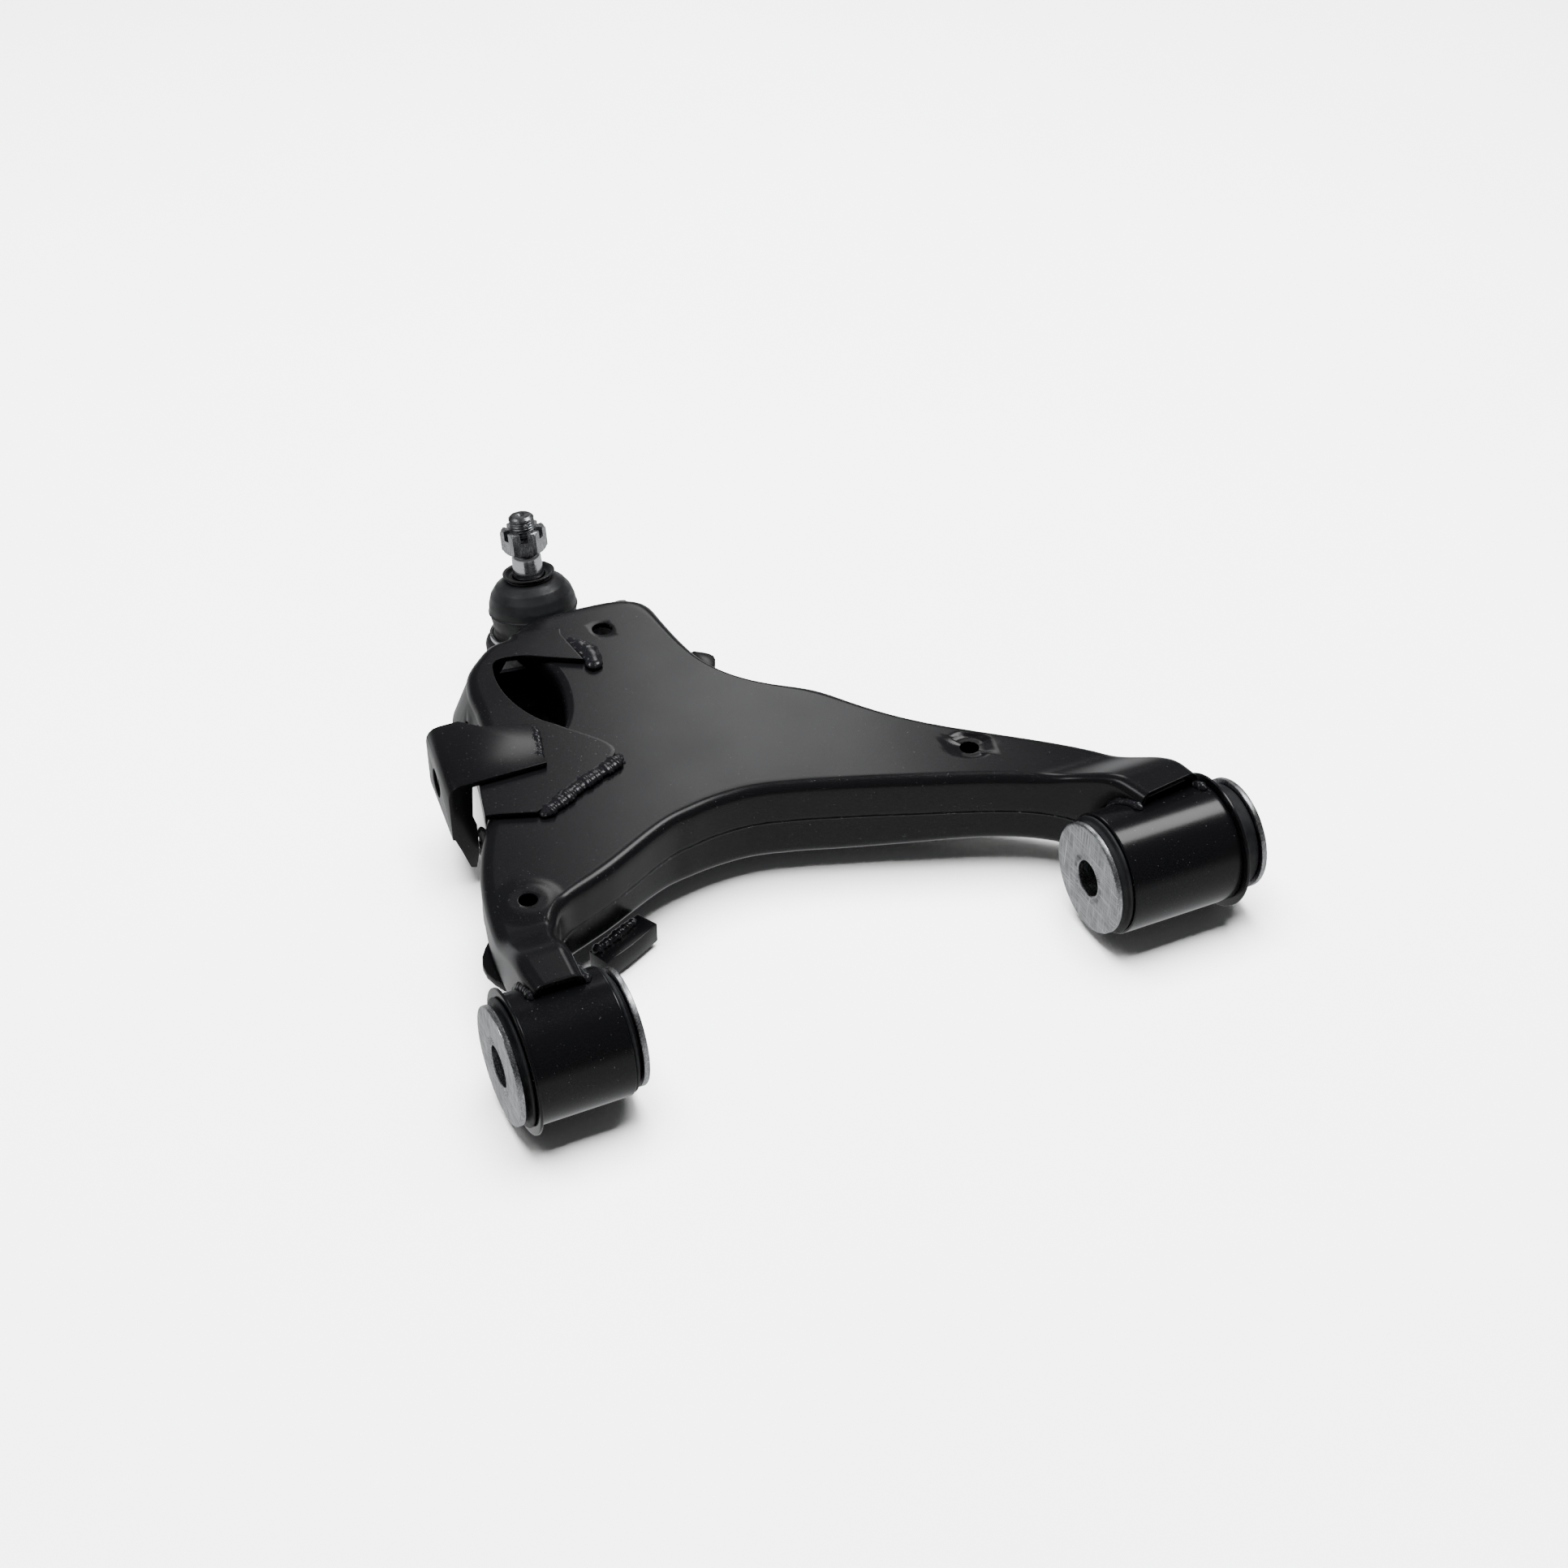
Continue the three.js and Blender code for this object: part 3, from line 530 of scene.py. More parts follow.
def material(key):
    """The finish with that short name, made on its first use."""
    makers = {
        "coat": lambda: electrocoat("electrocoated_pressed_steel", settings().coat, 0.25),
        "tube": lambda: electrocoat("electrocoated_drawn_tube", "040405", 0.2),
        "weld": weld_metal, "zinc": zinc_plate, "bright": bright_steel, "thread": thread_steel,
        "rubber": lambda: moulded_rubber("moulded_bush_rubber", "08080A", 0.5),
        "boot": lambda: moulded_rubber("moulded_boot_rubber", "0B0B0C", 0.36),
        "forged": forged_steel, "seat": seat_plastic, "paper": ground_paper,
    }
    if key not in MATERIALS:
        MATERIALS[key] = makers[key]()
    return MATERIALS[key]


# ---- sizes and colours that a user would change ----
class ArmSettings(bpy.types.PropertyGroup):
    sheet: bpy.props.FloatProperty(
        name="Sheet", description="Thickness of the pressed steel in millimetres", default=3.0,
        min=1.5, max=4.0)
    bend: bpy.props.FloatProperty(
        name="Bend radius", description="Outer bend radius of the pressings in millimetres",
        default=6.0, min=3.0, max=8.0)
    bead: bpy.props.FloatProperty(
        name="Weld width", description="Width of a seam weld in millimetres", default=5.0,
        min=2.0, max=8.0)
    coat: bpy.props.StringProperty(
        name="Coat", description="Colour of the electrocoat, as sRGB hex", default="050506")
    key_light: bpy.props.FloatProperty(
        name="Key light", description="Power of the large soft light", default=9.0, min=0.0,
        unit="POWER")


def settings():
    return bpy.context.scene.arm_settings


# ---- the stage ----
CAMERA_PLACE = (-0.4064, -0.9110, 0.8119)
CAMERA_AIM = (0.331, 0.709, -0.623)
LENS = 55.9


def softbox(name, place_at, aim, size, power, size_y=None, shine=True):
    """A rectangular soft light that looks at a point; without shine it gives no reflections."""
    light = bpy.data.lights.new(name, "AREA")
    light.shape, light.size, light.size_y, light.energy = "RECTANGLE", size, size_y or size, power
    obj = bpy.data.objects.new(name, light)
    obj.location = place_at
    obj.visible_glossy = shine
    obj.rotation_euler = (Vector(aim) - Vector(place_at)).to_track_quat("-Z", "Y").to_euler()
    bpy.context.scene.collection.objects.link(obj)


class ARM_OT_stage(bpy.types.Operator):
    """Adds the camera, the soft lights and the paper the arm lies on."""
    bl_idname = "arm.stage"
    bl_label = "Stage"

    def execute(self, context):
        camera = bpy.data.objects.new("camera", bpy.data.cameras.new("camera"))
        camera.data.lens, camera.data.sensor_width = LENS, 36
        camera.location = CAMERA_PLACE
        camera.rotation_euler = Vector(CAMERA_AIM).to_track_quat("-Z", "Y").to_euler()
        context.scene.collection.objects.link(camera)
        context.scene.camera = camera
        self.room(context)
        power = settings().key_light
        softbox("overhead", (0.0, 0.35, 2.6), (0, 0, 0), 2.0, power * 58, shine=False)
        softbox("strip", (0.58, 1.25, 1.05), (0.04, 0.02, 0.06), 0.36, power * 0.34, size_y=0.7)
        softbox("right", (1.25, 0.2, 2.0), (0.15, 0, 0.03), 0.9, power * 3.6)
        softbox("left", (-1.3, 0.5, 1.6), (-0.05, 0.1, 0.05), 0.5, power * 0.8)
        x = np.linspace(-6, 6, 3)
        flat = np.stack([*np.meshgrid(x, x, indexing="ij"), np.full((3, 3), -0.0002)], -1)
        mesh = bpy.data.meshes.new("paper")
        mesh.from_pydata(flat.reshape(-1, 3).tolist(), [], grid_faces(3, 3).tolist())
        floor = bpy.data.objects.new("paper", mesh)
        mesh.materials.append(material("paper"))
        context.scene.collection.objects.link(floor)
        floor.visible_glossy = False
        return {"FINISHED"}

    def room(self, context):
        """A dim room above the horizon and a lighter one below it, seen in the gloss."""
        world = bpy.data.worlds.new("studio")
        world.use_nodes = True
        tree = world.node_tree
        shade = tree.nodes["Background"]
        shade.inputs["Color"].default_value = linear("F4F5F6")
        height = add(tree, "SeparateXYZ", [(add(tree, "TexCoord").outputs["Generated"], "Vector")])
        level = add(tree, "MapRange", [(height.outputs["Z"], "Value")], From_Min=-0.15, From_Max=0.1,
                    To_Min=0.9, To_Max=0.13)
        tree.links.new(level.outputs["Result"], shade.inputs["Strength"])
        context.scene.world = world


# ---- pressings ----
def top_height(x, y):
    """Flat top that rises in an eased step over the bush tubes, with a raised seat round one hole and a
    round recess about another."""
    z = TOP_Z + HUMP_RISE * smooth((HUMP_FROM_Y - y) / (HUMP_FROM_Y - HUMP_TO_Y))
    boss, dish = TOP_HOLES[1], TOP_HOLES[2]
    z = z + 1.3 * (1 - smooth((np.hypot(x - boss[0], y - boss[1]) - 9) / 9))
    return z - 1.9 * (1 - smooth((np.hypot(x - dish[0], y - dish[1]) - 8.5) / 3))


def pan_height(x, y):
    """Underside that sinks in the middle of the arm by eased steps along X and Y."""
    return PAN_Z - PAN_DEEP * smooth((x - 70) / 90) * smooth((300 - x) / 90) * smooth((y + 10) / 90)


def channel(t, outer_line, edge, height_of, foot_of, up, holes):
    """Outside skin of an open channel: wall, quarter bend, flat, quarter bend, wall.

    Each section runs from the inner edge line to the outer one. The walls stand on the edge lines moved
    in by `edge`, and the bends are quarter circles. The bends are first evened out along the arm, which
    takes the loops out of tight corners. The flat joins them in a straight line in plan, and passes
    of Winslow's equations, a * P_tt - 2 b * P_ts + c * P_ss = 0 with a = P_s.P_s, b = P_t.P_s and
    c = P_t.P_t, then unfold it. Its height is what the function gives. t holds one value for each
    section and each point across it.
    """
    r = settings().bend
    walls, bends, flats = 6, 8, 66
    a = np.linspace(0, math.pi / 2, bends)
    d = r * (1 - np.cos(a))
    drop = r * (1 - np.sin(a))
    column = np.concatenate([np.zeros(walls), d, np.zeros(flats), d[::-1], np.zeros(walls)])
    below = np.concatenate([np.full(walls, r), drop, np.zeros(flats), drop[::-1], np.full(walls, r)])
    across = np.concatenate([np.zeros(walls + bends), np.linspace(0, 1, flats + 2)[1:-1],
                             np.ones(walls + bends)])
    column[walls + bends:walls + bends + flats] = r
    inner = inset(STATIONS[:, 0], t, edge + column + 0 * t, 1)
    outer = inset(outer_line, t, edge + column + 0 * t, -1)
    flat = inner + (outer - inner) * across[None, :, None]
    for _ in range(EVEN_PASSES):
        even = (flat[2:] + flat[:-2]) / 2 - flat[1:-1]
        flat[1:-1] += even * (column / r)[None, :, None]
    middle = slice(walls + bends, walls + bends + flats)
    left = slice(walls + bends - 1, walls + bends + flats - 1)
    right = slice(walls + bends + 1, walls + bends + flats + 1)
    for _ in range(UNFOLD_PASSES):
        on = (flat[2:, middle] - flat[:-2, middle]) / 2
        over = (flat[1:-1, right] - flat[1:-1, left]) / 2
        twist = (flat[2:, right] - flat[2:, left] - flat[:-2, right] + flat[:-2, left]) / 4
        a, b, c = ((u * v).sum(-1, keepdims=True) for u, v in ((over, over), (on, over), (on, on)))
        flat[1:-1, middle] = ((flat[2:, middle] + flat[:-2, middle]) * a - twist * b * 2
                              + (flat[1:-1, left] + flat[1:-1, right]) * c) / (2 * (a + c))
    keep = np.ones(flat.shape[:2], bool)
    for x, y, radius in holes:
        keep &= pierce(flat, np.array([x, y]), radius)
    x, y = flat[..., 0], flat[..., 1]
    z = height_of(x, y) - up * below
    for side, part in ((0, slice(0, walls)), (1, slice(flat.shape[1] - walls, None))):
        foot = foot_of(t[:, part], y[:, part], side)
        share = np.linspace(0, 1, walls) if side == 0 else np.linspace(1, 0, walls)
        z[:, part] = foot + (z[:, part] - foot) * share
    return np.stack([x, y, z], -1), keep


def over_tube(y):
    """Height of the bush tubes' top above the plan point, or far below off the tubes."""
    reach = (TUBE_R + GAP) ** 2 - y ** 2
    return np.where(reach > 0, PIVOT_Z + np.sqrt(np.maximum(reach, 0)), -100)


class ARM_OT_upper_shell(bpy.types.Operator):
    """Presses the upper shell, with its humped ends over the bush tubes and its three holes."""
    bl_idname = "arm.upper_shell"
    bl_label = "Upper shell"

    def execute(self, context):
        def foot(t, y, side):
            station = t * LAST
            low = np.maximum(SEAM_Z, over_tube(y))
            if side == 0:
                return low
            opened = smooth((station - OPENING[0]) / 0.5) * smooth((OPENING[1] - station) / 0.5)
            return low + (TOP_Z - 10 - low) * opened
        t = np.linspace(0, 1, 360)[:, None] + np.zeros((1, 94))
        grid, keep = channel(t, STATIONS[:, 1], 0, top_height, foot, 1, TOP_HOLES)
        piece("upper_shell_pressing", surface(grid, keep=keep),
              "coat", core=place([150, 150, -400]), wall=settings().sheet, bevel=0.35)
        return {"FINISHED"}


class ARM_OT_lower_shell(bpy.types.Operator):
    """Presses the lower shell, whose ends stop on the bush tubes."""
    bl_idname = "arm.lower_shell"
    bl_label = "Lower shell"

    def execute(self, context):
        outer = STATIONS[:, 1].copy()
        outer[LOWER_FROM:LOWER_FROM + len(LOWER_OUTER)] = LOWER_OUTER

        def foot(t, y, side):
            station = t * LAST
            under = smooth((station - LOWER_FROM) / 0.4) * smooth((OPENING[1] - 1 - station) / 0.4)
            return SEAM_Z + 5 - (SEAM_Z + 5 - HOOP_FOOT_Z + GAP) * under * side
        edge = settings().sheet + GAP
        dense = np.linspace(0, 1, 400)[:, None] + np.zeros((1, 94))
        trial, _ = channel(dense, outer, edge, pan_height, foot, -1, [])
        clear = np.hypot(trial[..., 1], trial[..., 2] - PIVOT_Z) > TUBE_R + GAP
        first = np.argmax(clear, axis=0) / 399
        final = 1 - np.argmax(clear[::-1], axis=0) / 399
        t = first + (final - first) * np.linspace(0, 1, 340)[:, None]
        grid, keep = channel(t, outer, edge, pan_height, foot, -1, PAN_HOLES)
        local = (place(grid) - BALL) @ LEAN
        near = np.hypot(local[..., 0], local[..., 1]) / MM
        push = np.maximum(0, HOUSING_R + GAP - near)
        grid[..., 1] -= push * 1.15
        piece("lower_shell_pressing", surface(grid, keep=keep),
              "coat", core=place([150, 150, 500]), wall=settings().sheet, bevel=0.35)
        return {"FINISHED"}


class ARM_OT_strut_pocket(bpy.types.Operator):
    """Forms the plate that rounds the strut opening, the pocket's inner wall and its weld nut."""
    bl_idname = "arm.strut_pocket"
    bl_label = "Strut pocket"

    def execute(self, context):
        s = settings()
        top = TOP_Z + GAP + s.sheet
        t = np.linspace(0, 1, 240)[:, None]
        bent = smooth((t - 0.16) / 0.1) * smooth((0.84 - t) / 0.08)
        skirt, bends, flats = 28, 9, 26
        a = np.linspace(0, math.pi / 2, bends)[None, :]
        side = np.linspace(1, 0, skirt, endpoint=False)[None, :]
        flat_d = np.concatenate([0 * side - 0.001, np.linspace(0, s.bend, bends)[None, :]], 1)
        flat_z = np.concatenate([-2.7 * side, 0 * a], 1)
        bent_d = np.concatenate([-HOOP_FLARE * side, s.bend * (1 - np.cos(a))], 1)
        bent_z = np.concatenate([(HOOP_FOOT_Z - top + s.bend) * side - s.bend,
                                 -s.bend * (1 - np.sin(a))], 1)
        d = flat_d + (bent_d - flat_d) * bent
        z = top + flat_z + (bent_z - flat_z) * bent
        rim = inset(HOOP_OUTER, t + 0 * d, d, -1)
        lip = spline(HOOP_INNER, t + np.zeros((1, flats)))
        share = np.linspace(0, 1, flats + 1)[None, 1:, None]
        plate = rim[:, -1:] + (lip - rim[:, -1:]) * share
        grid = np.concatenate([np.concatenate([rim, z[..., None]], -1),
                               np.concatenate([plate, np.full((*plate.shape[:2], 1), top)], -1)], 1)
        bolt_y, bolt_z, radius = STRUT_BOLT
        keep = pierce(grid[..., 1:], np.array([bolt_y, bolt_z]), radius, 1.6)
        piece("strut_reinforcement_pressing",
              surface(grid, keep=keep), "coat",
              core=place([150, 190, -100]), wall=s.sheet - 0.1, bevel=0.3)
        refined("strut_pocket_web", "coat")
        refined("strut_weld_nut", "forged")
        return {"FINISHED"}


class ARM_OT_plates(bpy.types.Operator):
    """Forms the stabilizer bracket, the gusset and the three small lugs."""
    bl_idname = "arm.plates"
    bl_label = "Bracket and lugs"

    def execute(self, context):
        for node in ("stabilizer_bracket", "gusset_plate", "side_lug", "stop_lug", "rear_lug"):
            refined(node, "coat")
        return {"FINISHED"}


# ---- bushes ----
def turned(name, profile, finish, body="arm", to_frame=lambda grid: place(along_pivot(grid)),
           steps=128, fillet=0.4):
    """A closed (radius, height) outline with small rounded corners, turned once round."""
    loop = rounded([*profile, profile[0]], fillet)
    grid = lathe(resampled(loop, 6.0)[:-1], steps)
    return piece(name, surface(grid, to_frame, **CLOSED), finish, body, sharp_deg=50)


def bush_tube(side, b):
    """Drawn tube with a round drain hole low on its inboard side: a turned sheet given its wall."""
    left, right = b["tube"]
    x_hole, r_hole = b["drain"]
    a = np.linspace(-math.pi, math.pi, 145)[:, None]
    x = np.linspace(left, right, 60)[None, :]
    flat = np.stack([a * TUBE_R + 0 * x, x + 0 * a], -1)
    keep = pierce(flat, np.array([0.0, x_hole]), r_hole)
    turn = flat[..., 0] / TUBE_R + DRAIN_ANGLE
    grid = np.stack([flat[..., 1], TUBE_R * np.cos(turn), TUBE_R * np.sin(turn) + PIVOT_Z], -1)
    piece(f"{side}_bush_tube_drawn", surface(grid, keep=keep),
          "tube", core=place([(left + right) / 2, 0, PIVOT_Z]), wall=TUBE_WALL - 0.05, bevel=0.5)


def end_disc(side, end, b):
    """Plated end disc: a chamfered ring whose outer face carries a ring of fine radial serrations.

    The face height follows a triangle wave round the disc, between the bore and the serrations' rim,
    fading out at both.
    """
    out = -1 if end == "front" else 1
    face = b["x0"] if end == "front" else b["x1"]
    back = face - out * DISC_T
    bore = b["bore"]
    rim = bore * 1.45
    radii = np.concatenate([np.linspace(bore + 0.5, rim, 10), np.linspace(rim + 0.6, DISC_R - 0.9, 14)])
    a = circle(360)[:, None]
    fade = smooth((radii - bore - 0.4) / 0.8) * smooth((rim - radii) / 0.6)
    wave = np.abs((a * 60 / (2 * math.pi)) % 1 - 0.5) * 2
    wobble = 0.5 + 0.5 * np.sin(a * 3 + bore) * np.sin(a * 7)
    sunk = 0.05 + 0.33 * wave * fade * (0.45 + 0.55 * wobble)
    height = face - out * sunk
    one = np.ones_like(a)
    r_line = np.concatenate([one * bore, one * bore, one * radii, one * (DISC_R - 0.3), one * DISC_R,
                             one * DISC_R, one * (DISC_R - 0.3), one * (bore + 0.4)], 1)
    x_line = np.concatenate([one * back, one * (face - out * 0.5), height, one * (face - out * 0.25),
                             one * (face - out * 0.8), one * (back + out * 0.35), one * back,
                             one * back], 1)
    grid = np.stack([x_line, r_line * np.cos(a), r_line * np.sin(a) + PIVOT_Z], -1)
    piece(f"{side}_bush_{end}_disc_plated", surface(grid, **CLOSED),
          "zinc", f"{side}_bush_core", sharp_deg=30)


class ARM_OT_bushes(bpy.types.Operator):
    """Builds both bonded bushes: tube, flanged can, rubber, sleeve and plated end discs."""
    bl_idname = "arm.bushes"
    bl_label = "Bushes"

    def execute(self, context):
        for side, b in BUSHES.items():
            left, right = b["tube"]
            s = b["sign"]
            bush_tube(side, b)
            r_out = TUBE_R - TUBE_WALL - GAP
            r_in = r_out - CAN_WALL
            end = right - 1 if s > 0 else left + 1
            lip, back = b["flange"], b["flange"] + s * CAN_WALL
            turned(f"{side}_bush_can_drawn",
                   [(r_in, lip), (FLANGE_R, lip), (FLANGE_R, back), (r_out, back), (r_out, end),
                    (r_in, end)], "tube")
            start, stop = b["x0"] + DISC_T + GAP, b["x1"] - DISC_T - GAP
            outer, inner = (start, stop) if s > 0 else (stop, start)
            near, far = (lip - GAP, right + GAP) if s > 0 else (lip + GAP, left - GAP)
            body_r = r_in - GAP
            turned(f"{side}_bush_rubber_moulded",
                   [(SLEEVE_R + GAP, outer), (25.5, outer), (26.2, outer + s * 0.9),
                    (28.4, near - s * 1.8),
                    (30.6, near - s * 1.3), (30.4, near), (body_r, near), (body_r, far), (29.6, far),
                    (30.0, far + s * 1.5), (27.6, far + s * 2.2), (26.4, inner - s * 1.0), (25.6, inner),
                    (SLEEVE_R + GAP, inner)], "rubber",
                   fillet=0.6)
            turned(f"{side}_bush_sleeve_turned",
                   [(b["bore"], start), (SLEEVE_R, start), (SLEEVE_R, stop), (b["bore"], stop)],
                   "zinc", f"{side}_bush_core")
            end_disc(side, "front", b)
            end_disc(side, "rear", b)
        return {"FINISHED"}


# ---- ball joint ----
STUD = dict(shoulder=57.5, tip=80.4, thread_r=7.0)
NUT = dict(low=59.9, high=73.0, flats=22.0, slot=4.2, slot_depth=5.1, turn=14)
BOOT_LIP_R = 14.6


def ball_stud():
    """Ball, neck and tapered shank as one turned outline, then the thread and a dimpled end.

    On the thread the radius drops from crest to root and back once per pitch, and the phase turns with
    the angle so that it climbs one pitch per turn. It fades out at both ends.
    """
    tip, start = STUD["tip"], STUD["shoulder"] + 2
    ball_r = 11.5
    lean = np.linspace(-math.pi / 2 + 0.02, math.acos(6.8 / ball_r), 22)
    ball = np.stack([ball_r * np.cos(lean), ball_r * np.sin(lean)], -1)
    shank = rounded([ball[-1], (6.8, 14), (8.9, 20), (8.5, 47), (8.05, 56.4), (7.1, 57.7), (6.2, 57.9),
                     (6.2, 58.8), (7.0, start)], 0.8, 5)
    z_thread = np.arange(start, tip - 1.3, THREAD_PITCH / 10)
    end = rounded([(7.0, tip - 1.3), (5.7, tip - 0.05), (4.6, tip), (2.3, tip - 0.05), (1.2, tip - 0.9),
                   (0.0001, tip - 1.1)], 0.3, 4)
    line = np.concatenate([[[0.0001, -ball_r]], ball, resampled(shank, 1.5)[1:],
                           np.stack([0 * z_thread + 7, z_thread], -1)[1:], end])
    grid = lathe(line, 96)
    a = circle(96)[:, None]
    h = line[None, :, 1]
    cut = np.abs(((h / THREAD_PITCH - a / (2 * math.pi)) % 1) - 0.5) * 2
    cut = np.clip(cut * 1.25 - 0.12, 0, 1)
    fade = smooth((h - start + 0.3) / 1.0) * smooth((tip - 1.2 - h) / 0.6) * (line[None, :, 0] > 6.5)
    radius = np.maximum(line[None, :, 0] - 0.85 * cut * fade, 0.0001)
    grid[..., 0], grid[..., 1] = radius * np.cos(a), radius * np.sin(a)
    return grid


def castle_nut():
    """Hexagonal castle nut, as rings of profile points turned once round.

    The outer radius is the hexagon's, held under a cone at the top and the bottom edge. A point within
    half a slot's width of one of the three slot lines drops to the slot floor.
    """
    low, high = NUT["low"], NUT["high"]
    flats = NUT["flats"] / 2
    corner = flats / math.cos(math.pi / 6)
    bore = STUD["thread_r"] + GAP
    a = circle(720)[:, None]
    hexagon = flats / np.cos((a + math.pi / 6) % (math.pi / 3) - math.pi / 6)
    floor = high - NUT["slot_depth"]
    levels = [low, low + 0.35, low + 1.4, low + 4.5, floor - 0.01, floor + 0.05, high - 1.6,
              high - 0.4, high]
    cone = [corner - 1.7, corner - 1.1, corner - 0.02, corner, corner, corner, corner - 0.05,
            corner - 0.9, corner - 1.5]
    outer = [np.minimum(hexagon, c) for c in cone]
    share = np.linspace(0, 1, 7)[1:-1]
    top = [outer[-1] + (bore - outer[-1]) * w for w in share]
    base = [bore + 0.5 + (outer[0] - bore - 0.5) * w for w in share]
    bore_z = [high, floor + 0.05, floor - 0.01, low + 4, low + 0.5]
    radii = np.concatenate([*outer, *top, *[0 * a + bore for _ in bore_z], 0 * a + bore + 0.5, *base], 1)
    z = [*levels, *[high] * len(top), *bore_z, low, *[low] * len(base)]
    height = np.array(z)[None, :] + 0 * a
    turn = np.stack([(a - k * math.pi / 3) for k in range(3)])
    off = np.abs(radii[None] * np.sin(turn)).min(0)
    height = np.where((off < NUT["slot"] / 2) & (height > floor), floor, height)
    a = a + math.radians(NUT["turn"])
    return np.stack([radii * np.cos(a), radii * np.sin(a), height], -1)


def boot_part(name, profile):
    """A turned rubber shell round the joint's axis, put in no body."""
    loop = resampled(rounded(profile, 0.7, 5), 0.8)
    grid = lathe(loop, 128)
    obj = piece(name, surface(grid, place_joint, **CLOSED),
                "boot", None, sharp_deg=60)
    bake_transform(obj)


def cut_by(obj, cutter):
    """Takes the cutter's solid out of the piece."""
    bpy.context.view_layer.update()
    less = obj.modifiers.new("hole", "BOOLEAN")
    less.operation, less.object, less.solver = "DIFFERENCE", cutter, "EXACT"
    finish_mesh(obj, 50)
    bpy.data.objects.remove(cutter)


class ARM_OT_ball_joint(bpy.types.Operator):
    """Builds the ball joint: forged housing, seat, cover, clip, boot, threaded stud and castle nut."""
    bl_idname = "arm.ball_joint"
    bl_label = "Ball joint"

    def execute(self, context):
        turned("ball_joint_housing_forged",
               [(18.6, -16), (23.5, -16), (28, -12.8), (HOUSING_R, -9), (HOUSING_R, 6.5), (27.6, 9),
                (21.4, 9.2), (21.4, 13), (14.6, 13), (12.4, 8.5), (15.5, 5.5), (15.5, -13), (18.6, -13)],
               "forged", to_frame=place_joint, fillet=0.9)
        self.ear()
        lean = np.linspace(0.42, -math.pi / 2 + 0.03, 16)
        cup = [(11.8 * math.cos(q), 11.8 * math.sin(q)) for q in lean]
        turned("ball_seat_moulded", [(0.001, -12.8), (15.2, -12.8), (15.2, 5), (11.2, 5), *cup,
                                     (0.001, -11.8)], "seat", to_frame=place_joint, steps=64)
        turned("housing_cover_pressed", [(0.001, -15.6), (14, -15.6), (18.3, -14.6), (18.3, -13.3),
                                         (0.001, -13.3)], "forged", to_frame=place_joint)
        turned("boot_clip_rolled", [(24.3, 9.5), (25.6, 9.5), (26, 10), (25.5, 11.4), (26, 12.6),
                                    (25.4, 12.6), (24.3, 12.6)], "bright",
               to_frame=place_joint, fillet=0.25)
        self.boot()
        grid = ball_stud()
        stud = piece("ball_stud_threaded", surface(grid, place_joint, close_n=True),
                     "bright", "stud", sharp_deg=60)
        stud.data.materials.append(material("thread"))
        self.paint_thread(stud)
        aim = math.radians(-84)
        length = np.linspace(-9, 9, 3)[None, :]
        a = circle(32)[:, None]
        x = length * math.cos(aim) - 1.7 * np.cos(a) * math.sin(aim)
        y = length * math.sin(aim) + 1.7 * np.cos(a) * math.cos(aim)
        z = STUD["tip"] - 4.7 + 1.7 * np.sin(a) + 0 * length
        pin = np.stack([x, y, z], -1)
        mesh = bpy.data.meshes.new("pin_hole")
        points = place_joint(pin).reshape(-1, 3).tolist()
        caps = [list(range(0, 96, 3))[::-1], list(range(2, 96, 3))]
        mesh.from_pydata(points, [], grid_faces(32, 3, True).tolist() + caps)
        cutter = bpy.data.objects.new("pin_hole", mesh)
        context.scene.collection.objects.link(cutter)
        cut_by(stud, cutter)
        piece("castle_nut_plated", surface(castle_nut(), place_joint, **CLOSED),
              "zinc", "stud", sharp_deg=30)
        return {"FINISHED"}

    def paint_thread(self, stud):
        """Gives the faces above the shoulder the thread's finish."""
        shoulder = STUD["shoulder"] * MM
        for face in stud.data.polygons:
            face.material_index = int((np.array(face.center) - BALL) @ AXIS > shoulder)

    def ear(self):
        """Forged ear beside the housing: a rounded block whose top edge carries two low lumps.

        Each section is a superellipse, and the sections run along X with a height that rises and falls
        twice.
        """
        u = np.linspace(0, 1, 40)[:, None]
        a = circle(40)[None, :]
        power = 0.45
        round_x = np.sign(np.cos(a)) * np.abs(np.cos(a)) ** power
        round_z = np.sign(np.sin(a)) * np.abs(np.sin(a)) ** power
        end = np.clip(np.minimum(u, 1 - u) / 0.06, 0, 1) ** 0.5
        top = 22.0 + 2.0 * np.abs(np.sin(2 * math.pi * u)) ** 0.6
        middle, half = (top - 8) / 2, (top + 8) / 2
        x = 24.4 + 25.8 * u + 0 * a
        y = -18.2 + 2.6 * end * round_x
        z = middle + half * (0.72 + 0.28 * end) * round_z
        wall = np.stack([x, y, z], -1)
        foot = np.stack([18 + 32 * u + 0 * a, -11 - 5 * u + (8.2 - 3 * u) * end * round_x,
                         -2 + 7.8 * end * round_z], -1)
        for name, grid in (("housing_ear_wall", wall), ("housing_ear_foot", foot)):
            piece(name, surface(grid, place_joint, close_m=True), "forged", sharp_deg=60)

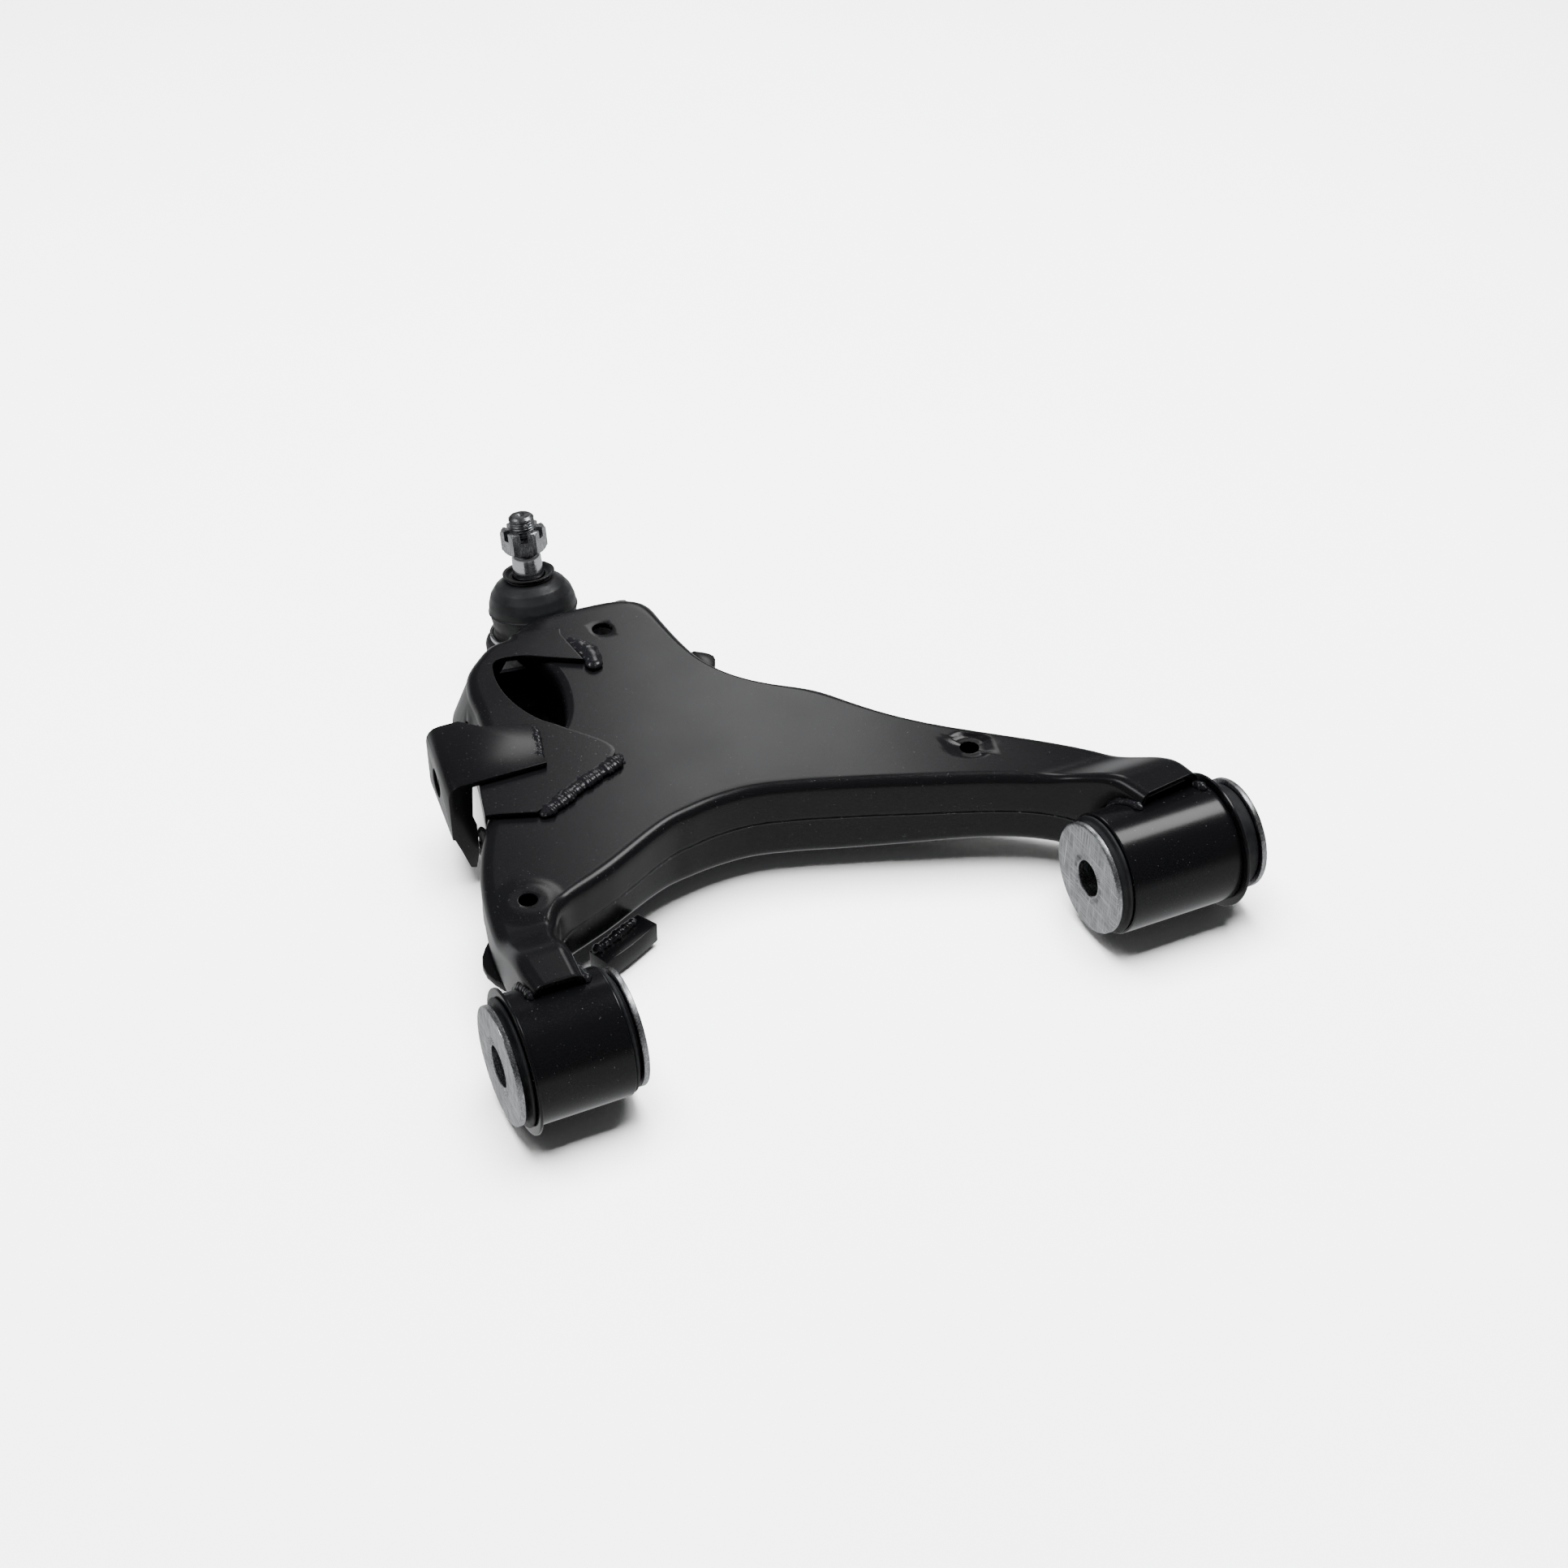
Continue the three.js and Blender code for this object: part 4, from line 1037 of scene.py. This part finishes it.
    def boot(self):
        """Dust boot: a nearly straight skirt, a squat dome above the mould line, and a flared lip."""
        seam = EQUATOR_R
        boot_part("boot_skirt_moulded",
                  [(21.8, 9.4), (23.9, 9.4), (23.9, 12.8), (22.8, 14.0), (22.9, 16), (23.7, 20.5),
                   (seam - 0.6, EQUATOR - 0.9), (seam, EQUATOR - 0.4), (seam, EQUATOR),
                   (seam - 2, EQUATOR), (22.0, 19), (21.8, 14), (21.8, 9.4)])
        boot_part("boot_dome_moulded",
                  [(seam, EQUATOR), (seam, EQUATOR + 0.4), (seam - 0.5, EQUATOR + 0.9), (24.1, 30),
                   (22.5, 35), (19.4, 39.4), (15.4, 42.2), (12.8, 43.2), (11.6, 42.8), (12.6, 41),
                   (16.8, 38.2),
                   (20.4, 34.2), (22.4, 29.8), (23, EQUATOR), (seam, EQUATOR)])
        turned("boot_lip_moulded",
               [(9.2, 42.6), (12.6, 42.8), (12.2, 43.9), (13.6, 45.0), (BOOT_LIP_R, 46.3), (14.2, 46.8),
                (12.6, 46.3), (11.4, 44.9), (10.6, 44.5), (9.2, 44.7)], "boot", "boot_swing",
               place_joint, fillet=0.35)


# ---- welds ----
def edge_path(points, stations, distance, side, z, count=160):
    """Places along an edge line between two stations, at one height."""
    t = np.linspace(stations[0], stations[1], count) / LAST
    plan = inset(points, t, np.full(count, float(distance)), side)
    return np.concatenate([plan, np.full((count, 1), float(z))], 1)


def outward(points, stations, side, tilt, count=160):
    """Unit directions that point away from the wall on that side, tipped down by the tilt."""
    outer, edge = (edge_path(points, stations, distance, side, 0, count) for distance in (-1, 0))
    far = outer - edge
    far[:, 2] = tilt
    return far / np.linalg.norm(far, axis=1, keepdims=True)


def lay(name, plan, z, width, height, pitch, depth=0.28):
    """A bead along plan points at one height, which faces up."""
    path = np.column_stack([plan, np.full(len(plan), z)])
    bead(name, path, np.repeat([[0.0, 0.0, 1.0]], len(plan), 0), width, height, pitch, depth)


def tube_joint(x, y0, y1, count=60):
    """Places along the top of a bush tube at one X, from one Y to another, with their normals."""
    y = np.linspace(y0, y1, count)
    z = np.sqrt((TUBE_R + GAP) ** 2 - y ** 2)
    xs = np.interp(y, [min(y0, y1), max(y0, y1)], x if y0 < y1 else x[::-1])
    normal = np.stack([0 * y, y, z], 1) / (TUBE_R + GAP)
    return np.stack([xs, y, PIVOT_Z + z], 1), normal


class ARM_OT_welds(bpy.types.Operator):
    """Lays the weld beads: the shells' seams, the bush tubes, the plate, the bracket, the gusset and the
    housing, and the spatter.
    """
    bl_idname = "arm.welds"
    bl_label = "Welds"

    def execute(self, context):
        width = settings().bead
        inner, outer = STATIONS[:, 0], STATIONS[:, 1]
        seams = {"inner": (inner, (3.2, 32.4), 1, 2.6, 0.6),
                 "inner_edge": (inner, (3.6, 32.0), 1, 0.1, 0.1),
                 "outer_front": (outer, (2.6, 6.8), -1, 2.6, 0.6),
                 "outer_rear": (outer, (20.2, 32.5), -1, 2.6, 0.6)}
        for name, (line, stations, side, distance, drop) in seams.items():
            share, height = (0.24, 0.5) if distance < 1 else (0.5, 0.9)
            bead(f"seam_weld_{name}", edge_path(line, stations, distance, side, SEAM_Z - drop),
                 outward(line, stations, side, -0.35), width * share, height, 1.6)
        lap = TOP_Z + GAP
        diagonal = spline(HOOP_INNER, np.linspace(-0.004, 0.182, 60)) + [1.2, -2.0]
        lay("plate_weld", diagonal, lap + 1.2, 9.0, 2.6, 2.4, depth=0.1)
        flange = np.array([[83.5, 166.5], [86.5, 174], [88.5, 183], [90, 189.5], [89, 195]])
        lay("bracket_weld", spline(flange, np.linspace(0, 1, 50)), lap + 4.2, 5.0, 2.4, 2.7)
        web = np.array([[49.3, 158.5, 37], [50.3, 161.5, 30], [51, 163, 21], [51.3, 164, 11.5]])
        bead("bracket_web_weld", web, np.repeat([[-0.9, -0.4, 0.0]], 4, 0), 7.5, 2.6, 3.0)
        hoop = np.array([[138, 231], [141, 238], [141.5, 247], [138.5, 256], [135, 263]], float)
        lay("hoop_end_weld", spline(hoop, np.linspace(0, 1, 50)), lap + 1.2, 10.5, 2.8, 60, depth=0.0)
        for side, (left, right) in {"front": ((19.5, 20.0), (46.0, 46.8)),
                                    "rear": ((330.0, 334.5), (366.0, 371.0))}.items():
            for where, span in (("left", left), ("right", right)):
                x = span[::-1] if side == "rear" else span
                path, normal = tube_joint(np.array(x), 2.5, 29.0)
                bead(f"{side}_tube_weld_{where}", path, normal, width, 2.4, 2.4)
        gusset = edge_path(inner, (6.95, 8.9), 0.6, 1, PAN_Z - 0.2)
        bead("gusset_weld", gusset, outward(inner, (6.95, 8.9), 1, 1.2), 5.5, 3.0, 3.1)
        self.housing()
        self.spatter()
        return {"FINISHED"}

    def housing(self):
        """Bead round the housing where the lower shell meets it."""
        a = np.radians(np.linspace(212, 322, 120))
        z = -4 + 1.2 * np.sin(a * 3)
        path = np.stack([(HOUSING_R + 0.8) * np.cos(a), (HOUSING_R + 0.8) * np.sin(a), z], 1)
        normal = np.stack([np.cos(a) * 0.2, np.sin(a) * 0.2, 0 * a + 1], 1)
        world = (place_joint(path) - ORIGIN) / MM
        bead("housing_weld", world, normal @ LEAN.T, 6, 2.6, 2.6)

    def spatter(self):
        """Small droplets of weld spatter on the plate and inside the pocket, as flattened spheres."""
        spots = np.array([[109, 167, 59.0, 0.9], [113, 166, 59.0, 0.6], [62, 205, 61.8, 0.5],
                          [66, 208, 61.9, 0.6], [73, 203, 61.9, 0.7], [124, 152, 59.0, 0.5],
                          [120, 214, 42, 1.6], [121.5, 222, 30, 1.2], [119, 209, 34, 1.3],
                          [121, 219, 38, 1.1], [238, 66, 36, 1.0], [90, 186, 65.2, 0.7]])
        a, b = np.meshgrid(circle(14),
                           np.linspace(0, math.pi, 9), indexing="ij")
        ball = np.stack([np.sin(b) * np.cos(a), np.sin(b) * np.sin(a), 0.75 * np.cos(b)], -1)
        grids = [(place(spot[:3] + ball * spot[3]), grid_faces(14, 9, close_n=True)) for spot in spots]
        piece("weld_spatter", grids, "weld", sharp_deg=60)


# ---- the panel and the run ----
OPERATORS = (ARM_OT_stage, ARM_OT_upper_shell, ARM_OT_lower_shell, ARM_OT_strut_pocket, ARM_OT_plates,
             ARM_OT_bushes, ARM_OT_ball_joint, ARM_OT_welds)


class ARM_PT_panel(bpy.types.Panel):
    bl_idname = "ARM_PT_panel"
    bl_label = "Control arm"
    bl_space_type = "VIEW_3D"
    bl_region_type = "UI"
    bl_category = "Arm"

    def draw(self, context):
        for name in ArmSettings.__annotations__:
            self.layout.prop(context.scene.arm_settings, name)
        for operator in OPERATORS:
            self.layout.operator(operator.bl_idname)


CLASSES = (ArmSettings, *OPERATORS, ARM_PT_panel)


def register():
    for cls in CLASSES:
        bpy.utils.register_class(cls)
    bpy.types.Scene.arm_settings = bpy.props.PointerProperty(type=ArmSettings)


def unregister():
    del bpy.types.Scene.arm_settings
    for cls in reversed(CLASSES):
        bpy.utils.unregister_class(cls)


def main():
    register()
    bpy.ops.arm.stage()
    bpy.ops.arm.upper_shell()
    bpy.ops.arm.lower_shell()
    bpy.ops.arm.strut_pocket()
    bpy.ops.arm.plates()
    bpy.ops.arm.bushes()
    bpy.ops.arm.ball_joint()
    bpy.ops.arm.welds()


if __name__ == "__main__":
    main()
